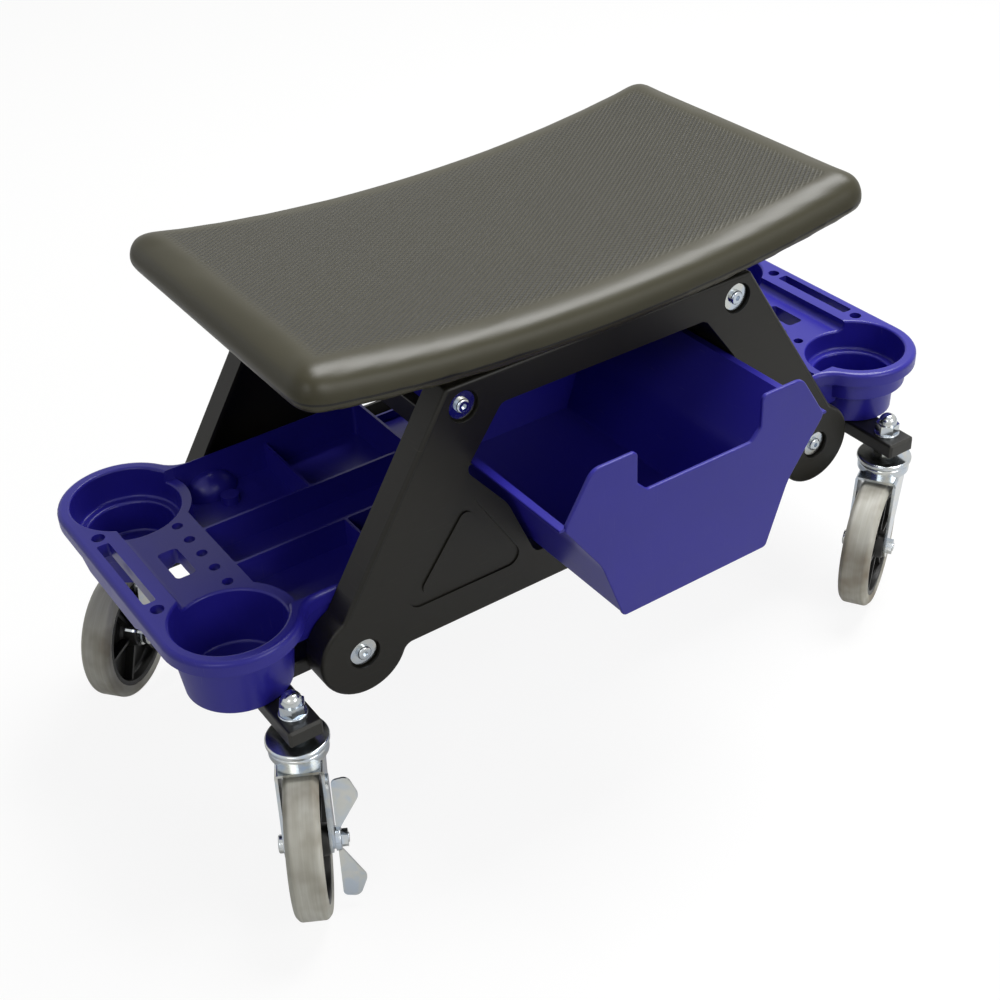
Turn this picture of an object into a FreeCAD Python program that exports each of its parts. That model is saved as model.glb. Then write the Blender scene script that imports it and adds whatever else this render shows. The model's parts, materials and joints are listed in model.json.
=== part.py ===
import FreeCAD, Part
import math
import os

import Sketcher
from FreeCAD import Placement, Rotation, Vector

# Rolling mechanic's seat: a saddle seat on two A-shaped side panels, a tray with cups at both
# ends, a drawer through the middle and four swivel casters.
# Millimetres. Origin on the floor under the middle of the seat, X along the seat,
# Y towards the back, Z up. The drawer stands open to the front, as it is stored here.

doc = FreeCAD.newDocument("creeper_seat")

# Driving sizes

DRIVING_SIZES = {
    # casters
    "wheel_diameter": 125,
    "tread_width": 29.5,
    "tread_depth": 11.5,
    "tread_round": 4,
    "hub_rim_wall": 4,
    "hub_width": 26,
    "hub_web": 4,
    "hub_boss_radius": 15,
    "hub_spokes": 6,
    "spoke_wall": 3,
    "axle_radius": 4,
    "axle_head_radius": 7.5,
    "axle_head_height": 4.5,
    "axle_nut_height": 5,
    "bush_radius": 6,
    "running_gap": 0.05,
    "fork_gap": 2.25,
    "fork_wall": 2.5,
    "fork_crown_gap": 3.5,
    "fork_crown_radius": 24.5,
    "fork_eye_radius": 11,
    "fork_front": 20,
    "fork_back": 30,
    "trail": 36.2,
    "race_radius": 26,
    "race_height": 6.5,
    "race_gap": 0.4,
    "stem_radius": 6,
    "stem_nut_radius": 10.9,
    "stem_nut_height": 7,
    "cap_nut_flange_radius": 12,
    "cap_nut_flange_height": 2.5,
    "cap_nut_hex_height": 9,
    "cap_nut_radius": 9.6,
    # chassis
    "stem_reach_x": 324,
    "stem_reach_y": 165,
    "beam_width": 30,
    "beam_height": 15,
    "beam_wall": 2,
    "beam_corner": 2.5,
    "beam_top": 168,
    "beam_end": 183,
    "plug_flange": 3,
    "plug_depth": 12,
    "plug_bevel": 2,
    "rail_reach_y": 99,
    "spreader_radius": 8,
    "spreader_bore_radius": 4.2,
    # side panels
    "panel_face_y": 147.3,
    "panel_depth": 26,
    "panel_wall": 3,
    "panel_top": 389,
    "panel_top_half": 153,
    "panel_knee_x": 264,
    "panel_knee_z": 212,
    "panel_bottom": 165.4,
    "lobe_radius": 40,
    "panel_edge_round": 3.2,
    "pocket_radius": 14,
    "pocket_depth": 4.7,
    "upper_bolt_x": 138.7,
    "upper_bolt_z": 368.4,
    "lower_bolt_x": 247.2,
    "opening_top": 359,
    "opening_top_half": 104,
    "opening_wide_half": 141,
    "opening_wide_z": 309,
    "opening_waist_half": 103,
    "opening_waist_z": 262,
    "opening_foot_half": 78,
    "opening_foot_z": 200.5,
    "opening_round": 9,
    "emboss_depth": 1.4,
    "emboss_apex_x": 142,
    "emboss_apex_z": 292,
    "emboss_outer_x": 214,
    "emboss_inner_x": 86,
    "emboss_foot_z": 198,
    "emboss_groove": 9,
    "emboss_round": 11,
    "emboss_middle_round": 7,
    "screw_radius": 4,
    "screw_head_radius": 6.2,
    "screw_head_height": 3.6,
    "screw_reach": 24,
    "washer_radius": 12,
    "washer_height": 1.2,
    # seat
    "seat_half_length": 280.5,
    "seat_half_width": 161,
    "seat_top_middle": 423.5,
    "seat_end_rise": 26,
    "seat_thickness": 34,
    "seat_crown": 2,
    "seat_corner": 38,
    "seat_top_round": 22.5,
    "seat_foot_round": 8.5,
    "seat_fit": 0.3,
    "base_half_length": 148,
    "base_half_width": 140,
    "base_inset": 6,
    "base_screw_x": 108,
    "base_screw_y": 133.5,
    "seat_screw_radius": 2.5,
    "seat_screw_head_radius": 4.8,
    "seat_screw_head_height": 3,
    "seat_screw_reach": 8,
    # tray
    "tray_half_length": 398,
    "tray_half_width": 121,
    "tray_wall": 2.5,
    "tray_rim": 231.6,
    "tray_deck": 221,
    "tray_floor": 195,
    "cup_reach_x": 338.1,
    "cup_reach_y": 100.9,
    "cup_rim_radius": 58.5,
    "cup_radius": 47.3,
    "cup_foot_radius": 41.2,
    "cup_ledge_z": 201.5,
    "cup_ledge_radius": 37.5,
    "cup_edge_round": 2.5,
    "cup_foot_gap": 0.3,
    "cup_floor_wall": 2.7,
    "bay_end": 298,
    "bay_middle": 98,
    "bay_round": 3,
    "lane_rib_y": 30.5,
    "cross_rib_x": 194,
    "rib_wall": 2.5,
    "end_rail": 363.5,
    "deck_reach_y": 108,
    "neck_round": 26,
    "rim_round": 4.5,
    "rail_slope": 7,
    "slot_x": 381,
    "slot_width": 11,
    "slot_length": 96,
    "rail_hole_x": 380,
    "rail_hole_y": 59.5,
    "rail_hole_radius": 5.8,
    "rack_hole_x": 314.4,
    "rack_hole_pitch": 24.1,
    "rack_hole_radius": 4.8,
    "rack_sleeve_wall": 2,
    "rack_sleeve_depth": 8,
    "square_hole_x": 337.5,
    "square_hole_width": 18,
    "square_hole_length": 41,
    "square_hole_round": 4,
    "square_tube_depth": 15,
    "skirt_foot": 212,
    "skirt_half": 62,
    "boss_y": 89,
    "boss_radius": 8.2,
    "boss_rise": 8,
    "tray_screw_radius": 2,
    "tray_screw_head_radius": 4,
    "tray_screw_head_height": 2.2,
    "dome_x": 254,
    "dome_half_length": 27,
    "dome_reach": 21,
    "middle_wall_top": 203.8,
    # drawer
    "drawer_half_length": 139.5,
    "drawer_open": 125,
    "drawer_plate": 3,
    "plate_edge": 0.5,
    "drawer_wall": 2.5,
    "drawer_rim": 315,
    "drawer_rim_half": 130.5,
    "drawer_waist_z": 264,
    "drawer_waist_half": 95.5,
    "drawer_foot_half": 74.5,
    "drawer_foot": 205.7,
    "drawer_tab_top": 357,
    "drawer_tab_half": 104,
    "notch_half": 62,
    "notch_bottom": 318,
    "lip_reach": 134.5,
    "lip_wall": 2.2,
    "stop_length": 8,
    "runner_web_x": 140.5,
    "runner_height": 24,
    "runner_wall": 1.5,
    "runner_gap": 0.3,
    "runner_flange": 10,
    # brakes
    "brake_plate_wall": 2,
    "brake_plate_half_width": 9,
    "brake_plate_reach": 56,
    "wing_reach": 55,
    "wing_wall": 2.2,
    "wing_hub_radius": 10,
    "wing_gap": 0.3,
    "wing_hub_width": 4.5,
    # general
    "overrun": 1,
}

dims = doc.addObject("Spreadsheet::Sheet", "dims")
for row, (alias, number) in enumerate(DRIVING_SIZES.items(), 1):
    dims.set(f"A{row}", alias)
    dims.set(f"B{row}", str(number))
    dims.setAlias(f"B{row}", alias)
doc.recompute()


# Small helpers: a size from the sheet, sketches whose sizes follow it, and features on them

def value(size):
    """Number of an expression on the sheet, such as "dims.trail / 2", or of a plain number."""
    if not isinstance(size, str):
        return float(size)
    result = dims.evalExpression(size.replace("dims.", ""))
    return float(getattr(result, "Value", result))


def bind(item, links):
    """Ties properties of an object to expressions on the sheet."""
    for name, size in links.items():
        if isinstance(size, str):
            item.setExpression(name, size)
        else:
            item.setExpression(name, str(size))


def place(item, x="0", y="0", z="0", turn=None):
    """Puts an object at expressions on the sheet, turned by a fixed rotation."""
    item.Placement = Placement(Vector(value(x), value(y), value(z)), turn or Rotation())
    bind(item, {"Placement.Base.x": x, "Placement.Base.y": y, "Placement.Base.z": z})
    return item


def new_body(label):
    item = doc.addObject("PartDesign::Body", label)
    item.Label = label
    return item


def new_sketch(owner, role, name, out="0", right="0", up="0"):
    """Sketch on an origin plane of its own body, moved out along its normal."""
    drawn = owner.newObject("Sketcher::SketchObject", name)
    planes = [feature for feature in owner.Origin.OriginFeatures if feature.Role == role]
    drawn.AttachmentSupport = [(planes[0], "")]
    drawn.MapMode = "FlatFace"
    bind(drawn, {
        "AttachmentOffset.Base.x": right,
        "AttachmentOffset.Base.y": up,
        "AttachmentOffset.Base.z": out,
    })
    return drawn


def law(kind, *where):
    return Sketcher.Constraint(kind, *where), None


def hold(kind, size, *where):
    """Dimension of a sketch, with the size it follows."""
    return Sketcher.Constraint(kind, *where, value(size)), size


def hold_point(geometry, point, x, y):
    return [hold("DistanceX", x, -1, 1, geometry, point),
            hold("DistanceY", y, -1, 1, geometry, point)]


def settle(drawn, laws):
    """Adds constraints in one go, then ties the dimensions among them to the sheet."""
    count = drawn.ConstraintCount
    drawn.addConstraint([constraint for constraint, size in laws])
    for index, (constraint, size) in enumerate(laws, count):
        if isinstance(size, str):
            drawn.setExpression(f"Constraints[{index}]", size)


def add_arc(drawn, start, middle, end):
    """Arc through three points, with the numbers of its ends in that order."""
    clockwise = area_of([start, middle, end]) < 0
    if clockwise:
        start, end = end, start
    arc = drawn.addGeometry(Part.Arc(start, middle, end), False)
    return (arc, 2, 1) if clockwise else (arc, 1, 2)


def draw_circle(drawn, radius, x=0, y=0):
    centre = Vector(value(x), value(y), 0)
    geometry = drawn.addGeometry(Part.Circle(centre, Vector(0, 0, 1), value(radius)), False)
    settle(drawn, [hold("Radius", radius, geometry)] + hold_point(geometry, 3, x, y))


def area_of(points):
    """Twice the area inside the points, positive when they run anticlockwise."""
    return sum(a.x * b.y - b.x * a.y for a, b in zip(points, points[1:] + points[:1]))


def draw_outline(drawn, corners):
    """Closed outline through corners (x, y, radius), each rounded by its tangent arc."""
    points = [Vector(value(x), value(y), 0) for x, y, radius in corners]
    if area_of(points) < 0:
        corners = corners[::-1]
        points = points[::-1]
    cuts = []
    for index, point in enumerate(points):
        radius = value(corners[index][2])
        back = (points[index - 1] - point).normalize()
        ahead = (points[(index + 1) % len(points)] - point).normalize()
        half = back.getAngle(ahead) / 2
        if radius:
            reach = radius / math.tan(half)
            inward = (back + ahead).normalize()
            middle = point + inward * (radius / math.sin(half) - radius)
        else:
            reach = 0
            middle = point
        cuts.append((point + back * reach, middle, point + ahead * reach))
    lines = []
    for index, cut in enumerate(cuts):
        following = cuts[(index + 1) % len(cuts)]
        lines.append(drawn.addGeometry(Part.LineSegment(cut[2], following[0]), False))
    laws = []
    for index, (start, middle, end) in enumerate(cuts):
        x, y, radius = corners[index]
        before = lines[index - 1]
        after = lines[index]
        if not value(radius):
            laws.append(law("Coincident", before, 2, after, 1))
            laws += hold_point(after, 1, x, y)
            continue
        arc, first, last = add_arc(drawn, start, middle, end)
        mark = drawn.addGeometry(Part.Point(points[index]), True)
        laws += [
            law("Tangent", before, 2, arc, first), law("Tangent", arc, last, after, 1),
            hold("Radius", radius, arc),
            law("PointOnObject", mark, 1, before), law("PointOnObject", mark, 1, after),
        ]
        laws += hold_point(mark, 1, x, y)
    settle(drawn, laws)


def draw_box(drawn, left, bottom, right, top, radius=0):
    draw_outline(drawn, [
        (left, bottom, radius), (right, bottom, radius), (right, top, radius), (left, top, radius),
    ])


def inset(corners, size):
    """The same corners moved inwards by a size, square to the sides on both hands of each."""
    points = [Vector(value(x), value(y), 0) for x, y, radius in corners]
    turn = 1 if area_of(points) > 0 else -1
    moved = []
    for index, (x, y, radius) in enumerate(corners):
        into = (points[index] - points[index - 1]).normalize()
        away = (points[(index + 1) % len(points)] - points[index]).normalize()
        inward = Vector(-into.y - away.y, into.x + away.x, 0) * turn
        inward = inward * (2 / inward.dot(inward))
        hollow = (into.x * away.y - into.y * away.x) * turn < 0
        new_radius = radius
        if value(radius):
            new_radius = f"({radius}) {'+' if hollow else '-'} ({size})"
            if value(new_radius) < value(radius) / 10:
                new_radius = 0
        moved.append((f"({x}) + ({size}) * {inward.x:.6f}", f"({y}) + ({size}) * {inward.y:.6f}",
                      new_radius))
    return moved


def add_feature(owner, kind, name, drawn, links=None, **settings):
    """Pad, Pocket, Revolution or Groove on a sketch, with its sizes tied to the sheet."""
    before = owner.Tip.Shape.Volume if owner.Tip else 0
    feature = owner.newObject(f"PartDesign::{kind}", name)
    feature.Profile = drawn
    for key, setting in settings.items():
        setattr(feature, key, setting)
    bind(feature, links or {})
    doc.recompute()
    change = feature.Shape.Volume - before
    cuts = kind in ("Pocket", "Groove")
    if (change > 0) == cuts:
        raise ValueError(f"{owner.Label}.{name} changed the volume the wrong way: {change:.1f}")
    return feature


def pad(owner, name, drawn, length, **settings):
    return add_feature(owner, "Pad", name, drawn, {"Length": length}, **settings)


def pocket(owner, name, drawn, length=None, **settings):
    if length is None:
        return add_feature(owner, "Pocket", name, drawn, Type="ThroughAll", **settings)
    return add_feature(owner, "Pocket", name, drawn, {"Length": length}, **settings)


def revolve(owner, name, drawn, kind="Revolution", axis="V_Axis", angle=360, **settings):
    return add_feature(
        owner, kind, name, drawn, ReferenceAxis=(drawn, [axis]), Angle=angle, **settings)


def fillet(owner, name, radius, wanted, kind="Fillet"):
    """Rounds or chamfers the edges of the body's tip that the test picks."""
    base = owner.Tip
    edges = [f"Edge{number}" for number, edge in enumerate(base.Shape.Edges, 1) if wanted(edge)]
    if not edges:
        raise ValueError(f"{owner.Label}.{name} found no edge")
    feature = owner.newObject(f"PartDesign::{kind}", name)
    feature.Base = (base, edges)
    bind(feature, {"Radius" if kind == "Fillet" else "Size": radius})
    doc.recompute()
    return feature


def on_plane(edge, axis, level):
    """True when every point of the edge lies at one level of X, Y or Z."""
    box = edge.BoundBox
    low, high = getattr(box, axis + "Min"), getattr(box, axis + "Max")
    tolerance = value("dims.running_gap") / 10
    return abs(low - level) < tolerance and abs(high - level) < tolerance


def along(edge, axis):
    """True for a straight edge that runs along X, Y or Z."""
    if not isinstance(edge.Curve, Part.Line):
        return False
    return abs(abs(getattr(edge.Curve.Direction, axis.lower())) - 1) < 1e-6


parts = []


def finished(item):
    parts.append(item)
    return item


# Caster arms: rectangular steel tube, one at each corner, which carries a caster's stem. The
# inner end is mitred, and welded to a rail.

BEAM_MIDDLE = "dims.beam_top - dims.beam_height / 2"
RAIL_INSIDE = "(dims.rail_reach_y - dims.beam_width / 2)"
CORNERS = {"fl": ("-", "-"), "fr": ("", "-"), "rl": ("-", ""), "rr": ("", "")}


def tube_section(drawn, half_width, half_height):
    draw_box(drawn, f"-({half_width})", f"-({half_height})", half_width, half_height,
             "dims.beam_corner")
    inner_width = f"({half_width}) - dims.beam_wall"
    inner_height = f"({half_height}) - dims.beam_wall"
    draw_box(drawn, f"-({inner_width})", f"-({inner_height})", inner_width, inner_height, 0)


def cut_mitre(owner, name, outer, near, corner, keep_far):
    """Cuts a tube at 45 degrees across the square where an arm and a rail meet. outer and near
    are the signs of X and Y that lead from the square's middle to the corner outside the bend."""
    reach = "(dims.beam_width / 2 + dims.overrun)"
    x, y = corner
    inner = "+" if outer == "-" else "-"
    far = "+" if near == "-" else "-"
    outside = (f"{x} {outer} {reach}", f"{y} {near} {reach}", 0)
    inside = (f"{x} {inner} {reach}", f"{y} {far} {reach}", 0)
    off_arm = (f"{x} {inner} {reach}", f"{y} {near} {reach}", 0)
    off_rail = (f"{x} {outer} {reach}", f"{y} {far} {reach}", 0)
    drawn = new_sketch(owner, "XY_Plane", name)
    draw_outline(drawn, [outside, off_arm if keep_far else off_rail, inside])
    pocket(owner, name + "_cut", drawn, Midplane=True)


def caster_arm(key):
    x_side, y_side = CORNERS[key]
    arm = new_body(f"caster_arm_{key}")
    start = RAIL_INSIDE if y_side == "-" else f"-{RAIL_INSIDE}"
    section = new_sketch(arm, "XZ_Plane", f"arm_section_{key}", start)
    tube_section(section, "dims.beam_width / 2", "dims.beam_height / 2")
    pad(arm, f"arm_tube_{key}", section, f"dims.beam_end - {RAIL_INSIDE}", Reversed=y_side == "")
    near = "+" if y_side == "-" else "-"
    cut_mitre(arm, f"arm_mitre_{key}", x_side or "+", near,
              ("0 * dims.beam_width", f"{y_side}dims.rail_reach_y"), True)
    hole = new_sketch(arm, "XY_Plane", f"arm_hole_{key}")
    draw_circle(hole, "dims.stem_radius + dims.running_gap", "0 * dims.stem_radius",
                f"{y_side}dims.stem_reach_y")
    pocket(arm, f"arm_stem_hole_{key}", hole, Midplane=True)
    place(arm, f"{x_side}dims.stem_reach_x", "0", BEAM_MIDDLE)
    return finished(arm)


for key in CORNERS:
    caster_arm(key)


# Moulded plugs that close the outer ends of the arms, each with a bevelled flange

def end_plug(name, x_side, y_side):
    plug = new_body(name)
    face = new_sketch(plug, "XZ_Plane", name + "_face")
    draw_box(face, "-dims.beam_width / 2", "-dims.beam_height / 2", "dims.beam_width / 2",
             "dims.beam_height / 2", "dims.beam_corner")
    pad(plug, name + "_flange", face, "dims.plug_flange")
    stem = new_sketch(plug, "XZ_Plane", name + "_stem")
    half_width = "(dims.beam_width / 2 - dims.beam_wall - dims.running_gap)"
    half_height = "(dims.beam_height / 2 - dims.beam_wall - dims.running_gap)"
    draw_box(stem, f"-{half_width}", f"-{half_height}", half_width, half_height, 0)
    pad(plug, name + "_insert", stem, "dims.plug_depth", Reversed=True)
    outer = -value("dims.plug_flange")
    fillet(plug, name + "_bevel", "dims.plug_bevel",
           lambda edge: on_plane(edge, "Y", outer), "Chamfer")
    turn = Rotation(Vector(0, 0, 1), 180 if y_side == "" else 0)
    return place(plug, f"{x_side}dims.stem_reach_x", f"{y_side}dims.beam_end", BEAM_MIDDLE, turn)


def group(label, members):
    """One node that holds identical small pieces as separate solids."""
    held = doc.addObject("Part::Compound", label)
    held.Label = label
    held.Links = members
    doc.recompute()
    return finished(held)


group("beam_end_plugs", [end_plug(f"end_plug_{key}", *sides) for key, sides in CORNERS.items()])


# Rails: the same tube lengthways between two arms, mitred to them at both ends

def frame_rail(label, side):
    rail = new_body(label)
    section = new_sketch(rail, "YZ_Plane", label + "_section")
    tube_section(section, "dims.beam_width / 2", "dims.beam_height / 2")
    pad(rail, label + "_tube", section, "2 * dims.stem_reach_x + dims.beam_width", Midplane=True)
    near = "+" if side == "-" else "-"
    for index, outer in enumerate(("-", "+")):
        corner = (f"{outer.strip('+')}dims.stem_reach_x", "0 * dims.beam_width")
        cut_mitre(rail, f"{label}_mitre_{index}", outer, near, corner, False)
    place(rail, "0", f"{side}dims.rail_reach_y", BEAM_MIDDLE)
    return finished(rail)


frame_rail("frame_rail_front", "-")
frame_rail("frame_rail_rear", "")


# Spreaders: round tubes from panel to panel, into whose ends the panel screws go.
# The lower pair lies on the rails.

SPREADER_END = "(dims.panel_face_y - dims.pocket_depth - dims.panel_wall)"
LOWER_BOLT_Z = "(dims.beam_top + dims.spreader_radius)"


def spreader(label, x, z, screwed=False):
    """Tube across the seat; one under the tray also has a hole for the tray's screw."""
    tube = new_body(label)
    section = new_sketch(tube, "XZ_Plane", label + "_section")
    draw_circle(section, "dims.spreader_radius")
    draw_circle(section, "dims.spreader_bore_radius")
    pad(tube, label + "_tube", section, f"2 * {SPREADER_END}", Midplane=True)
    if screwed:
        hole = new_sketch(tube, "XY_Plane", label + "_hole")
        draw_circle(hole, "dims.tray_screw_radius + dims.running_gap")
        pocket(tube, label + "_screw_hole", hole, Midplane=True)
    place(tube, x, "0", z)
    return finished(tube)


for word, side in (("left", "-"), ("right", "")):
    spreader(f"spreader_lower_{word}", f"{side}dims.lower_bolt_x", LOWER_BOLT_Z, True)
    spreader(f"spreader_upper_{word}", f"{side}dims.upper_bolt_x", "dims.upper_bolt_z")


# Side panels: A-shaped mouldings with a deep flange, round feet, four screw pockets, the
# drawer's opening and a pressed triangle at each foot. Drawn as the front one.

BOLTS = [
    ("-dims.upper_bolt_x", "dims.upper_bolt_z"), ("dims.upper_bolt_x", "dims.upper_bolt_z"),
    ("-dims.lower_bolt_x", LOWER_BOLT_Z), ("dims.lower_bolt_x", LOWER_BOLT_Z),
]


def side_panel(label, turn):
    panel = new_body(label)
    face = "dims.panel_face_y"
    outline = new_sketch(panel, "XZ_Plane", label + "_outline", face)
    foot = "(dims.lower_bolt_x - dims.lobe_radius * 0.9)"
    corners = [
        ("-dims.panel_top_half", "dims.panel_top", "1.5 * dims.panel_wall"),
        ("-dims.panel_knee_x", "dims.panel_knee_z", 0),
        ("-dims.lower_bolt_x", LOWER_BOLT_Z, 0),
        (f"-{foot}", "dims.panel_bottom", 0),
        (foot, "dims.panel_bottom", 0),
        ("dims.lower_bolt_x", LOWER_BOLT_Z, 0),
        ("dims.panel_knee_x", "dims.panel_knee_z", 0),
        ("dims.panel_top_half", "dims.panel_top", "1.5 * dims.panel_wall"),
    ]
    draw_outline(outline, corners)
    pad(panel, label + "_plate", outline, "dims.panel_depth", Reversed=True)
    for index, side in enumerate(("-", "")):
        lobe = new_sketch(panel, "XZ_Plane", f"{label}_lobe_{index}", face)
        draw_circle(lobe, "dims.lobe_radius", f"{side}dims.lower_bolt_x", LOWER_BOLT_Z)
        pad(panel, f"{label}_foot_{index}", lobe, "dims.panel_depth", Reversed=True)
    lobe_foot = value(f"{LOWER_BOLT_Z} + dims.lobe_radius")
    fillet(panel, label + "_waist", "3 * dims.panel_wall",
           lambda edge: along(edge, "Y") and edge.BoundBox.ZMax < lobe_foot)
    front = -value(face)
    fillet(panel, label + "_edge", "dims.panel_edge_round",
           lambda edge: on_plane(edge, "Y", front))
    back = f"({face} - dims.panel_depth)"
    hollow = new_sketch(panel, "XZ_Plane", label + "_hollow", back)
    draw_outline(hollow, inset(corners, "dims.panel_wall"))
    depth = "dims.panel_depth - dims.panel_wall"
    pocket(panel, label + "_inside", hollow, depth, Reversed=True)
    lobes = new_sketch(panel, "XZ_Plane", label + "_lobe_hollows", back)
    for side in ("-", ""):
        draw_circle(lobes, "dims.lobe_radius - dims.panel_wall", f"{side}dims.lower_bolt_x",
                    LOWER_BOLT_Z)
    pocket(panel, label + "_foot_inside", lobes, depth, Reversed=True)
    opening = new_sketch(panel, "XZ_Plane", label + "_opening", face)
    draw_outline(opening, [
        ("-dims.opening_top_half", "dims.opening_top", "dims.opening_round"),
        ("-dims.opening_wide_half", "dims.opening_wide_z", "dims.opening_round"),
        ("-dims.opening_waist_half", "dims.opening_waist_z", "5 * dims.opening_round"),
        ("-dims.opening_foot_half", "dims.opening_foot_z", "dims.opening_round"),
        ("dims.opening_foot_half", "dims.opening_foot_z", "dims.opening_round"),
        ("dims.opening_waist_half", "dims.opening_waist_z", "5 * dims.opening_round"),
        ("dims.opening_wide_half", "dims.opening_wide_z", "dims.opening_round"),
        ("dims.opening_top_half", "dims.opening_top", "dims.opening_round"),
    ])
    pocket(panel, label + "_drawer_opening", opening, "dims.panel_wall + dims.overrun",
           Reversed=False)
    bosses = new_sketch(panel, "XZ_Plane", label + "_bosses", face)
    recesses = new_sketch(panel, "XZ_Plane", label + "_recesses", face)
    holes = new_sketch(panel, "XZ_Plane", label + "_bolt_holes", face)
    for x, z in BOLTS:
        draw_circle(bosses, "dims.pocket_radius + dims.panel_wall", x, z)
        draw_circle(recesses, "dims.pocket_radius", x, z)
        draw_circle(holes, "dims.screw_radius + dims.running_gap", x, z)
    pocket_end = "dims.pocket_depth + dims.panel_wall"
    pad(panel, label + "_boss", bosses, pocket_end, Reversed=True)
    pocket(panel, label + "_recess", recesses, "dims.pocket_depth")
    pocket(panel, label + "_bolt_hole", holes, pocket_end)
    seat_holes = new_sketch(panel, "XY_Plane", label + "_seat_holes", "dims.panel_top")
    for side in ("-", ""):
        draw_circle(seat_holes, "dims.seat_screw_radius + dims.running_gap",
                    f"{side}dims.base_screw_x", "-dims.base_screw_y")
    pocket(panel, label + "_seat_hole", seat_holes, "dims.panel_wall + dims.running_gap")
    for index, side in enumerate(("-", "")):
        corners = [
            (f"{side}dims.emboss_apex_x", "dims.emboss_apex_z", "dims.emboss_round"),
            (f"{side}dims.emboss_outer_x", "dims.emboss_foot_z", "dims.emboss_round"),
            (f"{side}dims.emboss_inner_x", "dims.emboss_foot_z", "dims.emboss_round"),
        ]
        middle = inset(corners, "dims.emboss_groove")
        emboss = new_sketch(panel, "XZ_Plane", f"{label}_emboss_{index}", face)
        draw_outline(emboss, corners)
        draw_outline(emboss, [(x, z, "dims.emboss_middle_round") for x, z, radius in middle])
        pocket(panel, f"{label}_groove_{index}", emboss, "dims.emboss_depth")
    place(panel, "0", "0", "0", turn)
    return finished(panel)


HALF_TURN = Rotation(Vector(0, 0, 1), 180)

side_panel("side_panel_front", Rotation())
side_panel("side_panel_rear", HALF_TURN)



# Screws and washers in the panels' pockets: eight socket pan heads, each on a wide washer

def pan_screw(name, radius, head_radius, head_height, reach):
    """Screw along Z with the underside of its head at the origin."""
    screw = new_body(name)
    profile = new_sketch(screw, "XZ_Plane", name + "_profile")
    draw_outline(profile, [
        ("0 * " + radius, f"-({reach})", 0), (radius, f"-({reach})", 0), (radius, "0 * " + radius, 0),
        (head_radius, "0 * " + radius, 0), (head_radius, head_height, f"{head_height} * 0.55"),
        ("0 * " + radius, head_height, 0),
    ])
    revolve(screw, name + "_turned", profile)
    socket = new_sketch(screw, "XY_Plane", name + "_socket", head_height)
    draw_hexagon(socket, f"{head_radius} * 0.4")
    pocket(screw, name + "_drive", socket, f"{head_height} * 0.55")
    return screw


def draw_hexagon(drawn, radius, x="0", y="0"):
    corners = []
    for index in range(6):
        angle = math.radians(60 * index)
        corners.append((f"({x}) + ({radius}) * {math.cos(angle):.6f}",
                        f"({y}) + ({radius}) * {math.sin(angle):.6f}", 0))
    draw_outline(drawn, corners)


def washer(name):
    ring = new_body(name)
    face = new_sketch(ring, "XY_Plane", name + "_face")
    draw_circle(face, "dims.washer_radius")
    draw_circle(face, "dims.screw_radius + dims.running_gap")
    pad(ring, name + "_plate", face, "dims.washer_height")
    return ring


screws = []
washers = []
for word, y_side, tip in (("front", "-", 90), ("rear", "", -90)):
    outwards = Rotation(Vector(1, 0, 0), tip)
    for index, (x, z) in enumerate(BOLTS):
        seat_y = f"{y_side}(dims.panel_face_y - dims.pocket_depth)"
        head_y = f"{y_side}(dims.panel_face_y - dims.pocket_depth + dims.washer_height)"
        screw = pan_screw(f"panel_screw_{word}_{index}", "dims.screw_radius",
                          "dims.screw_head_radius", "dims.screw_head_height", "dims.screw_reach")
        screws.append(place(screw, x, head_y, z, outwards))
        washers.append(place(washer(f"panel_washer_{word}_{index}"), x, seat_y, z, outwards))
group("panel_screws", screws)
group("panel_washers", washers)


# Seat: a saddle cushion, higher at both ends, over a board let into its underside.
# Both turn about one line across the seat, high above it.

SEAT_ARC = ("((dims.seat_half_length ^ 2 + dims.seat_end_rise ^ 2) / (2 * dims.seat_end_rise))")
SEAT_AXIS = f"dims.seat_top_middle + {SEAT_ARC}"
SEAT_FOOT_ARC = f"({SEAT_ARC} + dims.seat_thickness)"
seat_swing = 2.4 * math.degrees(math.asin(value(f"dims.seat_half_length / {SEAT_ARC}")))

seat_pad = new_body("seat_pad")
section = new_sketch(seat_pad, "YZ_Plane", "seat_section", "0", "0", SEAT_AXIS)
half = "(dims.seat_half_width + dims.overrun)"
low = f"-{SEAT_FOOT_ARC}"
high = f"-({SEAT_ARC} + dims.seat_crown)"
corners = [(f"-{half}", low), (half, low), (half, high), (f"-{half}", high)]
points = [Vector(value(x), value(y), 0) for x, y in corners]
top = Vector(0, -value(SEAT_ARC), 0)
sides = [
    section.addGeometry(Part.LineSegment(points[0], points[1]), False),
    section.addGeometry(Part.LineSegment(points[1], points[2]), False),
    section.addGeometry(Part.LineSegment(points[3], points[0]), False),
]
crown, first, last = add_arc(section, points[2], top, points[3])
settle(section, [
    law("Coincident", sides[0], 2, sides[1], 1),
    law("Coincident", sides[1], 2, crown, first),
    law("Coincident", crown, last, sides[2], 1),
    law("Coincident", sides[2], 2, sides[0], 1),
    hold("Radius", f"({half} ^ 2 + dims.seat_crown ^ 2) / (2 * dims.seat_crown)", crown),
] + hold_point(sides[0], 1, *corners[0]) + hold_point(sides[1], 1, *corners[1])
    + hold_point(sides[1], 2, *corners[2]) + hold_point(sides[2], 1, *corners[3]))
revolve(seat_pad, "seat_saddle", section, axis="H_Axis", angle=seat_swing, Midplane=True)
plan = new_sketch(seat_pad, "XY_Plane", "seat_plan", "dims.panel_top")
reach_x = "(dims.seat_half_length + dims.seat_corner * 3)"
reach_y = "(dims.seat_half_width + dims.seat_corner)"
draw_box(plan, f"-{reach_x}", f"-{reach_y}", reach_x, reach_y)
draw_box(plan, "-dims.seat_half_length", "-dims.seat_half_width", "dims.seat_half_length",
         "dims.seat_half_width", "dims.seat_corner")
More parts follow.
